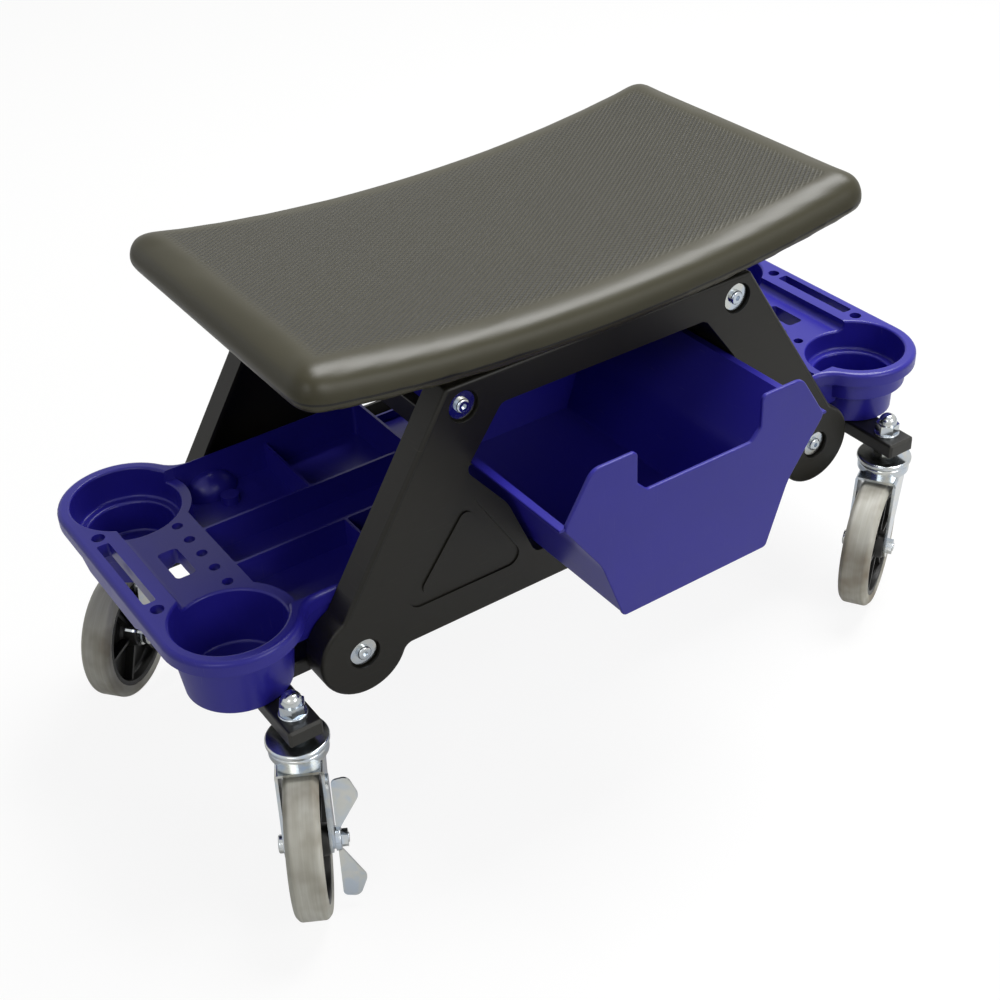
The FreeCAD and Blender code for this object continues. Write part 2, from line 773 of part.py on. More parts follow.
pocket(seat_pad, "seat_trim", plan, Midplane=True)


def seat_rim(edge, upper):
    """True for the edges round the cushion's top, or round its foot."""
    if along(edge, "Z") or edge.Length < value("dims.seat_corner") / 2:
        return False
    middle = edge.BoundBox.Center
    foot = value(SEAT_AXIS) - math.sqrt(value(SEAT_FOOT_ARC) ** 2 - middle.x ** 2)
    return (middle.z - foot > value("dims.seat_thickness") / 2) == upper


fillet(seat_pad, "seat_shoulder", "dims.seat_top_round", lambda edge: seat_rim(edge, True))
fillet(seat_pad, "seat_foot", "dims.seat_foot_round", lambda edge: seat_rim(edge, False))


def base_section(owner, name, gap, depth):
    """Section of the board, or of the recess for it, round the seat's axis."""
    drawn = new_sketch(owner, "YZ_Plane", name, "0", "0", SEAT_AXIS)
    half = f"(dims.base_half_width + {gap})"
    draw_box(drawn, f"-{half}", f"-({SEAT_FOOT_ARC} + {depth})", half,
             f"-({SEAT_FOOT_ARC} - dims.base_inset - {gap})")
    return drawn


base_swing = 2 * math.degrees(math.asin(value(f"dims.base_half_length / {SEAT_FOOT_ARC}")))
recess_swing = 2 * math.degrees(
    math.asin(value(f"(dims.base_half_length + dims.seat_fit) / {SEAT_FOOT_ARC}")))
recess = base_section(seat_pad, "seat_recess_section", "dims.seat_fit", "dims.base_inset")
revolve(seat_pad, "seat_recess", recess, "Groove", "H_Axis", recess_swing, Midplane=True)
finished(seat_pad)

seat_base = new_body("seat_base")
board = base_section(seat_base, "seat_base_section", "0 * dims.seat_fit", "2 * dims.base_inset")
revolve(seat_base, "seat_base_board", board, axis="H_Axis", angle=base_swing, Midplane=True)
flat = new_sketch(seat_base, "XZ_Plane", "seat_base_flat")
draw_box(flat, "-dims.seat_half_length", "dims.panel_top - 4 * dims.base_inset",
         "dims.seat_half_length", "dims.panel_top")
pocket(seat_base, "seat_base_underside", flat, Midplane=True)
holes = new_sketch(seat_base, "XY_Plane", "seat_base_holes", "dims.panel_top")
seat_screws = []
for x_side in ("-", ""):
    for y_side in ("-", ""):
        spot = (f"{x_side}dims.base_screw_x", f"{y_side}dims.base_screw_y")
        draw_circle(holes, "dims.seat_screw_radius + dims.running_gap", *spot)
        screw = pan_screw(f"seat_screw_{len(seat_screws)}", "dims.seat_screw_radius",
                          "dims.seat_screw_head_radius", "dims.seat_screw_head_height",
                          "dims.seat_screw_reach")
        upwards = Rotation(Vector(1, 0, 0), 180)
        place(screw, *spot, "dims.panel_top - dims.panel_wall", upwards)
        seat_screws.append(screw)
pocket(seat_base, "seat_base_hole", holes,
       "dims.seat_screw_reach - dims.panel_wall + dims.running_gap", Reversed=True)
finished(seat_base)
group("seat_screws", seat_screws)


# Tool tray: one moulding between the panels, with a cup at each corner, a rail and a deck with
# tool holes at each end, and bays between ribs. The same after half a turn.

TRAY_END = "(dims.cup_reach_x + dims.cup_rim_radius)"
DECK_FOOT = "(dims.tray_deck - dims.tray_wall)"
FLOOR_FOOT = "(dims.tray_floor - dims.tray_wall)"
BAY_HALF = "(dims.tray_half_width - dims.tray_wall - dims.overrun)"
ENDS = (("-", -1), ("", 1))


def cup(owner, key, stepped, hollow):
    """Outside or bore of one cup, turned about its own axis."""
    x_side, y_side = CORNERS[key]
    name = f"cup_{key}_{'bore' if hollow else 'wall'}"
    out = "dims.cup_reach_y" if y_side == "-" else "-dims.cup_reach_y"
    drawn = new_sketch(owner, "XZ_Plane", name, out, f"{x_side}dims.cup_reach_x", "0")
    axis = "0 * dims.cup_radius"
    wall = "dims.cup_floor_wall"
    foot = "(dims.beam_top + dims.cup_foot_gap)"
    if hollow:
        top = "(dims.tray_rim + dims.overrun)"
        foot = f"({foot} + {wall})"
        outline = [(axis, foot, 0)]
        if stepped:
            outline += [
                ("dims.cup_ledge_radius - dims.overrun", foot, wall),
                ("dims.cup_ledge_radius", "dims.cup_ledge_z", "dims.cup_edge_round"),
                ("dims.cup_radius - 1.5 * dims.overrun", "dims.cup_ledge_z",
                 "dims.cup_edge_round"),
            ]
        else:
            outline.append(("dims.cup_foot_radius", foot, wall))
        outline += [("dims.cup_radius", top, 0), (axis, top, 0)]
        drawn_kind = "Groove"
    else:
        top = "dims.tray_rim - dims.overrun"
        outline = [(axis, foot, 0)]
        if stepped:
            ledge_foot = f"dims.cup_ledge_z - {wall}"
            outline += [
                (f"dims.cup_ledge_radius - dims.overrun + {wall}", foot, "dims.overrun"),
                (f"dims.cup_ledge_radius + {wall}", ledge_foot, 0),
                (f"dims.cup_radius + {wall}", ledge_foot, "dims.overrun"),
            ]
        else:
            outline.append((f"dims.cup_foot_radius + {wall}", foot, "dims.overrun"))
        outline += [(f"dims.cup_radius + {wall} + dims.overrun", top, 0), (axis, top, 0)]
        drawn_kind = "Revolution"
    draw_outline(drawn, outline)
    revolve(owner, name + "_turned", drawn, drawn_kind)


tray = new_body("tool_tray")
rim_height = f"dims.tray_rim - {DECK_FOOT}"
plan = new_sketch(tray, "XY_Plane", "tray_plan", DECK_FOOT)
draw_box(plan, "-dims.cup_reach_x", "-dims.tray_half_width", "dims.cup_reach_x",
         "dims.tray_half_width")
pad(tray, "tray_rim_plate", plan, rim_height)
plan = new_sketch(tray, "XY_Plane", "tray_ends", DECK_FOOT)
draw_box(plan, f"-{TRAY_END}", "-dims.cup_reach_y", TRAY_END, "dims.cup_reach_y")
pad(tray, "tray_end_plate", plan, rim_height)
plan = new_sketch(tray, "XY_Plane", "tray_cup_rims", DECK_FOOT)
for x_word, y_word in CORNERS.values():
    draw_circle(plan, "dims.cup_rim_radius", f"{x_word}dims.cup_reach_x",
                f"{y_word}dims.cup_reach_y")
pad(tray, "tray_cup_rim", plan, rim_height)
long_side = value("dims.tray_half_width")
fillet(tray, "tray_necks", "dims.neck_round",
       lambda edge: along(edge, "Z") and abs(abs(edge.BoundBox.Center.y) - long_side) < 0.01)
rim_level = value("dims.tray_rim")
fillet(tray, "tray_rim_edge", "dims.rim_round", lambda edge: on_plane(edge, "Z", rim_level))
tub = new_sketch(tray, "XY_Plane", "tray_tub", FLOOR_FOOT)
tub_x = "(dims.bay_end + dims.tray_wall)"
tub_y = "(dims.tray_half_width - dims.overrun)"
draw_box(tub, f"-{tub_x}", f"-{tub_y}", tub_x, tub_y, "2 * dims.tray_wall")
pad(tray, "tray_tub_walls", tub, f"{DECK_FOOT} - {FLOOR_FOOT} + dims.overrun")
for key in CORNERS:
    cup(tray, key, key in ("rl", "fr"), False)
for index, (word, side) in enumerate(ENDS):
    skirt = new_sketch(tray, "YZ_Plane", f"tray_skirt_{index}",
                       TRAY_END if word == "" else f"-({TRAY_END} - dims.tray_wall)")
    draw_outline(skirt, [
        ("-dims.skirt_half", f"{DECK_FOOT} + dims.overrun", 0),
        ("-dims.skirt_half * 0.75", "dims.skirt_foot", "3 * dims.tray_wall"),
        ("dims.skirt_half * 0.75", "dims.skirt_foot", "3 * dims.tray_wall"),
        ("dims.skirt_half", f"{DECK_FOOT} + dims.overrun", 0),
    ])
    pad(tray, f"tray_end_skirt_{index}", skirt, "dims.tray_wall", Reversed=True)
bore_share = 0.7
for index, (word, side) in enumerate(ENDS):
    step_y = "dims.deck_reach_y - dims.tray_wall"
    upper = new_sketch(tray, "XY_Plane", f"tray_upper_{index}", "dims.tray_deck")
    wall_x = f"{word}(dims.bay_middle + dims.rib_wall / 2)"
    draw_outline(upper, [
        (wall_x, f"-{BAY_HALF}", "dims.bay_round"),
        (f"{word}(dims.cup_reach_x - {bore_share} * dims.cup_radius)", f"-{BAY_HALF}", 0),
        (f"{word}dims.cup_reach_x", f"-({step_y})", 0),
        (f"{word}dims.end_rail", "-dims.cup_reach_y * 0.7", 0),
        (f"{word}dims.end_rail", "dims.cup_reach_y * 0.7", 0),
        (f"{word}dims.cup_reach_x", step_y, 0),
        (f"{word}(dims.cup_reach_x - {bore_share} * dims.cup_radius)", BAY_HALF, 0),
        (wall_x, BAY_HALF, "dims.bay_round"),
    ])
    pocket(tray, f"tray_deck_level_{index}", upper, f"dims.tray_rim - dims.tray_deck",
           Reversed=True)
rail_x = value("dims.end_rail")
deck_level = value("dims.tray_deck")


def rail_foot(edge):
    return (on_plane(edge, "Z", deck_level)
            and (on_plane(edge, "X", rail_x) or on_plane(edge, "X", -rail_x)))


fillet(tray, "tray_rail_slope", "dims.rail_slope", rail_foot)


def ring_compartment(drawn, word, side, y_word, y_side):
    """Outer-lane compartment whose corner follows the ring round the cup."""
    ring = "(dims.cup_radius + 3.5 * dims.tray_wall)"
    near_y = value("dims.lane_rib_y + dims.rib_wall / 2")
    end_x = value("dims.bay_end")
    rib_x = value("dims.cross_rib_x + dims.rib_wall / 2")
    wall_y = value(BAY_HALF)
    cup_x, cup_y, radius = value("dims.cup_reach_x"), value("dims.cup_reach_y"), value(ring)
    ring_y = cup_y - math.sqrt(radius ** 2 - (cup_x - end_x) ** 2)
    ring_x = cup_x - math.sqrt(radius ** 2 - (wall_y - cup_y) ** 2)
    spots = [(end_x, near_y), (end_x, ring_y), (ring_x, wall_y), (rib_x, wall_y), (rib_x, near_y)]
    spots = [Vector(x * side, y * y_side, 0) for x, y in spots]
    crest = Vector((cup_x - radius) * side, cup_y * y_side, 0)
    lines = [drawn.addGeometry(Part.LineSegment(spots[0], spots[1]), False)]
    arc, first, last = add_arc(drawn, spots[1], crest, spots[2])
    for index in (2, 3, 4):
        lines.append(drawn.addGeometry(
            Part.LineSegment(spots[index], spots[(index + 1) % 5]), False))
    laws = [
        law("Coincident", lines[0], 2, arc, first), law("Coincident", arc, last, lines[1], 1),
        law("Coincident", lines[1], 2, lines[2], 1), law("Coincident", lines[2], 2, lines[3], 1),
        law("Coincident", lines[3], 2, lines[0], 1), hold("Radius", ring, arc),
    ]
    for line, kind in zip(lines, ("Vertical", "Horizontal", "Vertical", "Horizontal")):
        laws.append(law(kind, line))
    laws += hold_point(arc, 3, f"{word}dims.cup_reach_x", f"{y_word}dims.cup_reach_y")
    laws += hold_point(lines[0], 1, f"{word}dims.bay_end",
                       f"{y_word}(dims.lane_rib_y + dims.rib_wall / 2)")
    laws += hold_point(lines[2], 1, f"{word}(dims.cross_rib_x + dims.rib_wall / 2)",
                       f"{y_word}{BAY_HALF}")
    settle(drawn, laws)


bay_depth = "dims.tray_deck - dims.tray_floor"
for index, (word, side) in enumerate(ENDS):
    outer = new_sketch(tray, "XY_Plane", f"tray_outer_bays_{index}", "dims.tray_floor")
    inner = new_sketch(tray, "XY_Plane", f"tray_inner_bays_{index}", "dims.tray_floor")
    for y_word, y_side in ENDS:
        ring_compartment(outer, word, side, y_word, y_side)
        near_x = f"{word}(dims.bay_middle + dims.rib_wall / 2)"
        far_x = f"{word}(dims.cross_rib_x - dims.rib_wall / 2)"
        near_y = f"{y_word}(dims.lane_rib_y + dims.rib_wall / 2)"
        draw_box(inner, near_x, near_y, far_x, f"{y_word}{BAY_HALF}", "dims.bay_round")
    lane = "(dims.lane_rib_y - dims.rib_wall / 2)"
    draw_box(inner, near_x, f"-{lane}", f"{word}dims.bay_end", lane, "dims.bay_round")
    pocket(tray, f"tray_outer_bay_{index}", outer, bay_depth, Reversed=True)
    pocket(tray, f"tray_inner_bay_{index}", inner, bay_depth, Reversed=True)
middle = new_sketch(tray, "XY_Plane", "tray_middle_bay", "dims.tray_floor")
middle_x = "(dims.bay_middle - dims.rib_wall / 2)"
draw_box(middle, f"-{middle_x}", f"-{BAY_HALF}", middle_x, BAY_HALF, "dims.bay_round")
pocket(tray, "tray_middle_floor", middle, "dims.tray_rim - dims.tray_floor", Reversed=True)
gate = new_sketch(tray, "XZ_Plane", "tray_gate")
draw_box(gate, f"-{middle_x}", "dims.middle_wall_top", middle_x, "dims.tray_rim + dims.rim_round")
pocket(tray, "tray_drawer_gate", gate, Midplane=True)
for key in CORNERS:
    cup(tray, key, key in ("rl", "fr"), True)
cup_mouth = value("dims.cup_radius")


def cup_rim(edge):
    """True for the round edges of the cups' mouths, on the rim and on the deck."""
    level = on_plane(edge, "Z", rim_level) or on_plane(edge, "Z", deck_level)
    radius = getattr(edge.Curve, "Radius", 0)
    return level and abs(radius - cup_mouth) < value("dims.tray_wall")


fillet(tray, "tray_cup_edges", "dims.cup_edge_round", cup_rim)
for index, (word, side) in enumerate(ENDS):
    collar = new_sketch(tray, "XY_Plane", f"tray_collar_{index}", DECK_FOOT)
    wide = "(dims.square_hole_width / 2 + dims.rib_wall)"
    long = "(dims.square_hole_length / 2 + dims.rib_wall)"
    draw_box(collar, f"{word}dims.square_hole_x - {wide}", f"-{long}",
             f"{word}dims.square_hole_x + {wide}", long, "dims.square_hole_round + dims.rib_wall")
    pad(tray, f"tray_square_tube_{index}", collar, "dims.square_tube_depth - dims.tray_wall",
        Reversed=True)
    sleeves = new_sketch(tray, "XY_Plane", f"tray_rack_sleeves_{index}", DECK_FOOT)
    for step in (-2, -1, 0, 1, 2):
        draw_circle(sleeves, "dims.rack_hole_radius + dims.rack_sleeve_wall",
                    f"{word}dims.rack_hole_x", f"{step} * dims.rack_hole_pitch")
    pad(tray, f"tray_rack_sleeve_{index}", sleeves, "dims.rack_sleeve_depth", Reversed=True)
    holes = new_sketch(tray, "XY_Plane", f"tray_deck_holes_{index}", "dims.tray_deck")
    wide = "(dims.square_hole_width / 2)"
    long = "(dims.square_hole_length / 2)"
    draw_box(holes, f"{word}dims.square_hole_x - {wide}", f"-{long}",
             f"{word}dims.square_hole_x + {wide}", long, "dims.square_hole_round")
    for step in (-2, -1, 0, 1, 2):
        draw_circle(holes, "dims.rack_hole_radius", f"{word}dims.rack_hole_x",
                    f"{step} * dims.rack_hole_pitch")
    pocket(tray, f"tray_deck_hole_{index}", holes, "dims.square_tube_depth + dims.overrun")
    rail = new_sketch(tray, "XY_Plane", f"tray_rail_holes_{index}", "dims.tray_rim")
    draw_box(rail, f"{word}dims.slot_x - dims.slot_width / 2", "-dims.slot_length / 2",
             f"{word}dims.slot_x + dims.slot_width / 2", "dims.slot_length / 2",
             "dims.slot_width / 5")
    for y_word, y_side in ENDS:
        draw_circle(rail, "dims.rail_hole_radius", f"{word}dims.rail_hole_x",
                    f"{y_word}dims.rail_hole_y")
    pocket(tray, f"tray_rail_hole_{index}", rail, f"dims.tray_rim - {DECK_FOOT} + dims.overrun")
post_foot = f"({LOWER_BOLT_Z} + dims.spreader_radius + dims.cup_foot_gap)"
posts = new_sketch(tray, "XY_Plane", "tray_posts", FLOOR_FOOT)
holes = new_sketch(tray, "XY_Plane", "tray_screw_holes", FLOOR_FOOT)
bosses = new_sketch(tray, "XY_Plane", "tray_bosses", "dims.tray_floor")
for x_word, x_side in ENDS:
    screw_x = f"{x_word}dims.lower_bolt_x"
    draw_circle(posts, "dims.boss_radius", screw_x)
    draw_circle(holes, "dims.tray_screw_radius + dims.running_gap", screw_x)
    for y_word, y_side in ENDS:
        draw_circle(posts, "dims.boss_radius", screw_x, f"{y_word}dims.boss_y")
        if x_side != y_side:
            draw_circle(bosses, "dims.boss_radius", screw_x, f"{y_word}dims.boss_y")
pad(tray, "tray_standoffs", posts, f"{FLOOR_FOOT} - {post_foot}", Reversed=True)
pocket(tray, "tray_screw_hole", holes, f"{FLOOR_FOOT} - {post_foot} + dims.overrun")
pad(tray, "tray_boss", bosses, "dims.boss_rise")
for index, (word, y_word) in enumerate((("-", ""), ("", "-"))):
    out = f"{y_word}{BAY_HALF}"
    dome = new_sketch(tray, "XY_Plane", f"tray_dome_{index}", "dims.tray_floor",
                      f"{word}dims.dome_x", out)
    half_length = value("dims.dome_half_length")
    bulge = value("dims.dome_reach") * (-1 if y_word == "" else 1)
    chord = dome.addGeometry(Part.LineSegment(
        Vector(-half_length, 0, 0), Vector(half_length, 0, 0)), False)
    arc, first, last = add_arc(
        dome, Vector(half_length, 0, 0), Vector(0, bulge, 0), Vector(-half_length, 0, 0))
    settle(dome, [
        law("Coincident", chord, 2, arc, first), law("Coincident", arc, last, chord, 1),
        hold("Radius", "(dims.dome_half_length ^ 2 + dims.dome_reach ^ 2)"
             " / (2 * dims.dome_reach)", arc),
    ] + hold_point(chord, 1, "-dims.dome_half_length", 0)
        + hold_point(chord, 2, "dims.dome_half_length", 0))
    revolve(tray, f"tray_dome_bulge_{index}", dome, axis="H_Axis", angle=90,
            Reversed=y_word == "")
finished(tray)

tray_screws = []
for index, (word, side) in enumerate(ENDS):
    screw = pan_screw(f"tray_screw_{index}", "dims.tray_screw_radius",
                      "dims.tray_screw_head_radius", "dims.tray_screw_head_height",
                      f"{FLOOR_FOOT} - dims.beam_top - dims.running_gap")
    upwards = Rotation(Vector(1, 0, 0), 180)
    place(screw, f"{word}dims.lower_bolt_x", "0", "dims.beam_top", upwards)
    tray_screws.append(screw)
group("tray_screws", tray_screws)


# Drawer: a tapered bin as long as the panels are apart, with a handle plate at both ends and
# lips that slide on the runners. It stands open to the front.

drawer = new_body("drawer")
bin_outline = new_sketch(drawer, "XZ_Plane", "drawer_section")
foot_round = "2 * dims.drawer_wall"
waist_round = "22 * dims.drawer_wall"
slope = value("(dims.drawer_rim_half - dims.drawer_waist_half)"
              " / (dims.drawer_rim - dims.drawer_waist_z)")
lip_root = f"(dims.drawer_rim_half - {slope:.6f} * dims.lip_wall)"
lip_foot = "dims.drawer_rim - dims.lip_wall"
draw_outline(bin_outline, [
    ("-dims.lip_reach", "dims.drawer_rim", "dims.lip_wall / 3"),
    ("-dims.lip_reach", lip_foot, "dims.lip_wall / 3"),
    (f"-{lip_root}", lip_foot, 0),
    ("-dims.drawer_waist_half", "dims.drawer_waist_z", waist_round),
    ("-dims.drawer_foot_half", "dims.drawer_foot", foot_round),
    ("dims.drawer_foot_half", "dims.drawer_foot", foot_round),
    ("dims.drawer_waist_half", "dims.drawer_waist_z", waist_round),
    (lip_root, lip_foot, 0),
    ("dims.lip_reach", lip_foot, "dims.lip_wall / 3"),
    ("dims.lip_reach", "dims.drawer_rim", "dims.lip_wall / 3"),
])
pad(drawer, "drawer_bin", bin_outline, "2 * dims.drawer_half_length - dims.drawer_plate",
    Midplane=True)
for index, side in enumerate(("", "-")):
    plane = "dims.drawer_half_length" if side == "" else (
        "-(dims.drawer_half_length - dims.drawer_plate)")
    plate = new_sketch(drawer, "XZ_Plane", f"drawer_plate_outline_{index}", plane)
    edge = "dims.plate_edge"
    right = [
        (f"(dims.drawer_foot_half + {edge})", f"dims.drawer_foot - {edge}", foot_round),
        (f"(dims.drawer_waist_half + {edge})", "dims.drawer_waist_z", waist_round),
        (f"(dims.drawer_rim_half + {edge})", "dims.drawer_rim - dims.overrun",
         "3 * dims.drawer_wall"),
        ("dims.drawer_tab_half", "dims.drawer_tab_top", "5 * dims.drawer_wall"),
        ("dims.notch_half", "dims.drawer_tab_top", "2 * dims.drawer_wall"),
        ("dims.notch_half", "dims.notch_bottom + 4 * dims.drawer_wall", "2 * dims.drawer_wall"),
        ("(dims.notch_half - 4 * dims.drawer_wall)", "dims.notch_bottom",
         "2 * dims.drawer_wall"),
    ]
    left = [("-" + x, z, radius) for x, z, radius in right[::-1]]
    draw_outline(plate, right + left)
    pad(drawer, f"drawer_handle_plate_{index}", plate, "dims.drawer_plate", Reversed=True)
inside = new_sketch(drawer, "XZ_Plane", "drawer_inside")
rim_share = math.sqrt(1 + slope ** 2)
low_slope = value("(dims.drawer_waist_half - dims.drawer_foot_half)"
                  " / (dims.drawer_waist_z - dims.drawer_foot)")
foot_share = math.sqrt(1 + low_slope ** 2) - low_slope
waist_share = (rim_share + foot_share) / 2
top_half = f"(dims.drawer_rim_half - {rim_share:.4f} * dims.drawer_wall + {slope:.4f} * dims.overrun)"
waist_half = f"(dims.drawer_waist_half - {waist_share:.4f} * dims.drawer_wall)"
foot_half = f"(dims.drawer_foot_half - {foot_share:.4f} * dims.drawer_wall)"
draw_outline(inside, [
    (f"-{top_half}", "dims.drawer_rim + dims.overrun", 0),
    (f"-{waist_half}", "dims.drawer_waist_z", f"{waist_round} + dims.drawer_wall"),
    (f"-{foot_half}", "dims.drawer_foot + dims.drawer_wall", "dims.drawer_wall"),
    (foot_half, "dims.drawer_foot + dims.drawer_wall", "dims.drawer_wall"),
    (waist_half, "dims.drawer_waist_z", f"{waist_round} + dims.drawer_wall"),
    (top_half, "dims.drawer_rim + dims.overrun", 0),
])
pocket(drawer, "drawer_hollow", inside, "2 * (dims.drawer_half_length - dims.drawer_plate)",
       Midplane=True)
plate_front = -value("dims.drawer_half_length")
fillet(drawer, "drawer_plate_edge", "dims.drawer_plate / 2.5",
       lambda edge: on_plane(edge, "Y", plate_front) or on_plane(edge, "Y", -plate_front))
place(drawer, "0", "-dims.drawer_open", "0")
finished(drawer)


# Runners: a channel under the seat on each side, which carries the drawer's lip

def runner(label, side):
    channel = new_body(label)
    section = new_sketch(channel, "XZ_Plane", label + "_section")
    bottom = "(dims.drawer_rim - dims.lip_wall - dims.runner_gap - dims.runner_wall)"
    top = f"({bottom} + dims.runner_height)"
    web = f"{side}dims.runner_web_x"
    web_inner = f"{side}(dims.runner_web_x - dims.runner_wall)"
    lip = f"{side}(dims.runner_web_x - dims.runner_flange)"
    draw_outline(section, [
        (web, bottom, "dims.runner_wall"), (web, top, "dims.runner_wall"), (lip, top, 0),
        (lip, f"{top} - dims.runner_wall", 0), (web_inner, f"{top} - dims.runner_wall", 0),
        (web_inner, f"{bottom} + dims.runner_wall", 0), (lip, f"{bottom} + dims.runner_wall", 0),
        (lip, bottom, 0),
    ])
    pad(channel, label + "_channel", section, "2 * (dims.panel_face_y - dims.panel_wall)",
        Midplane=True)
    return finished(channel)


runner("runner_left", "-")
runner("runner_right", "")


# Casters: stem and race fixed under the beam, fork swivelling below with its wheel behind the
# stem. Two of them, at opposite ends of the left side, carry a brake lever on the axle.

WHEEL_RADIUS = "(dims.wheel_diameter / 2)"
FORK_INNER = "(dims.tread_width / 2 + dims.fork_gap)"
FORK_OUTER = f"({FORK_INNER} + dims.fork_wall)"
CROWN_FOOT = "(dims.wheel_diameter + dims.fork_crown_gap)"
RACE_TOP = "(dims.beam_top - dims.beam_height - dims.stem_nut_height)"
CROWN_TOP = "(" + RACE_TOP + " - dims.race_height - dims.race_gap)"
TRAILS = {"fl": 241.4, "fr": 211.2, "rl": 219.8, "rr": 318.0}
BRAKES = {"fl": -15.0, "rl": 47.0}
CENTRE = "0 * dims.trail"


def turned(owner, name, outline, kind="Revolution", plane="XZ_Plane", axis="V_Axis"):
    drawn = new_sketch(owner, plane, name + "_profile")
    draw_outline(drawn, outline)
    revolve(owner, name, drawn, kind, axis)


def cap_nut(name):
    nut = new_body(name)
    flange = "dims.cap_nut_flange_height"
    turned(nut, name + "_flange", [
        (CENTRE, CENTRE, 0), ("dims.cap_nut_flange_radius", CENTRE, 0),
        ("dims.cap_nut_flange_radius", flange, f"{flange} / 2"), (CENTRE, flange, 0),
    ])
    hexagon = new_sketch(nut, "XY_Plane", name + "_hexagon", flange)
    draw_hexagon(hexagon, "dims.cap_nut_radius * 1.1547")
    pad(nut, name + "_flats", hexagon, "dims.cap_nut_hex_height")
    dome_foot = f"({flange} + dims.cap_nut_hex_height)"
    dome_radius = "(dims.cap_nut_radius * 0.9)"
    dome_top = f"({dome_foot} + dims.cap_nut_radius)"
    turned(nut, name + "_dome", [
        (CENTRE, dome_foot + " - dims.overrun", 0), (dome_radius, dome_foot + " - dims.overrun", 0),
        (dome_radius, dome_top, f"{dome_radius} * 0.9"), (CENTRE, dome_top, 0),
    ])
    bore = new_sketch(nut, "XY_Plane", name + "_bore")
    draw_circle(bore, "dims.stem_radius + dims.running_gap")
    pocket(nut, name + "_thread", bore, dome_foot, Reversed=True)
    return nut


nuts = []
for key, (x_side, y_side) in CORNERS.items():
    nut = cap_nut(f"stem_cap_nut_{key}")
    nuts.append(place(nut, f"{x_side}dims.stem_reach_x", f"{y_side}dims.stem_reach_y",
                      "dims.beam_top", Rotation(Vector(0, 0, 1), 12 * len(nuts))))
group("stem_cap_nuts", nuts)


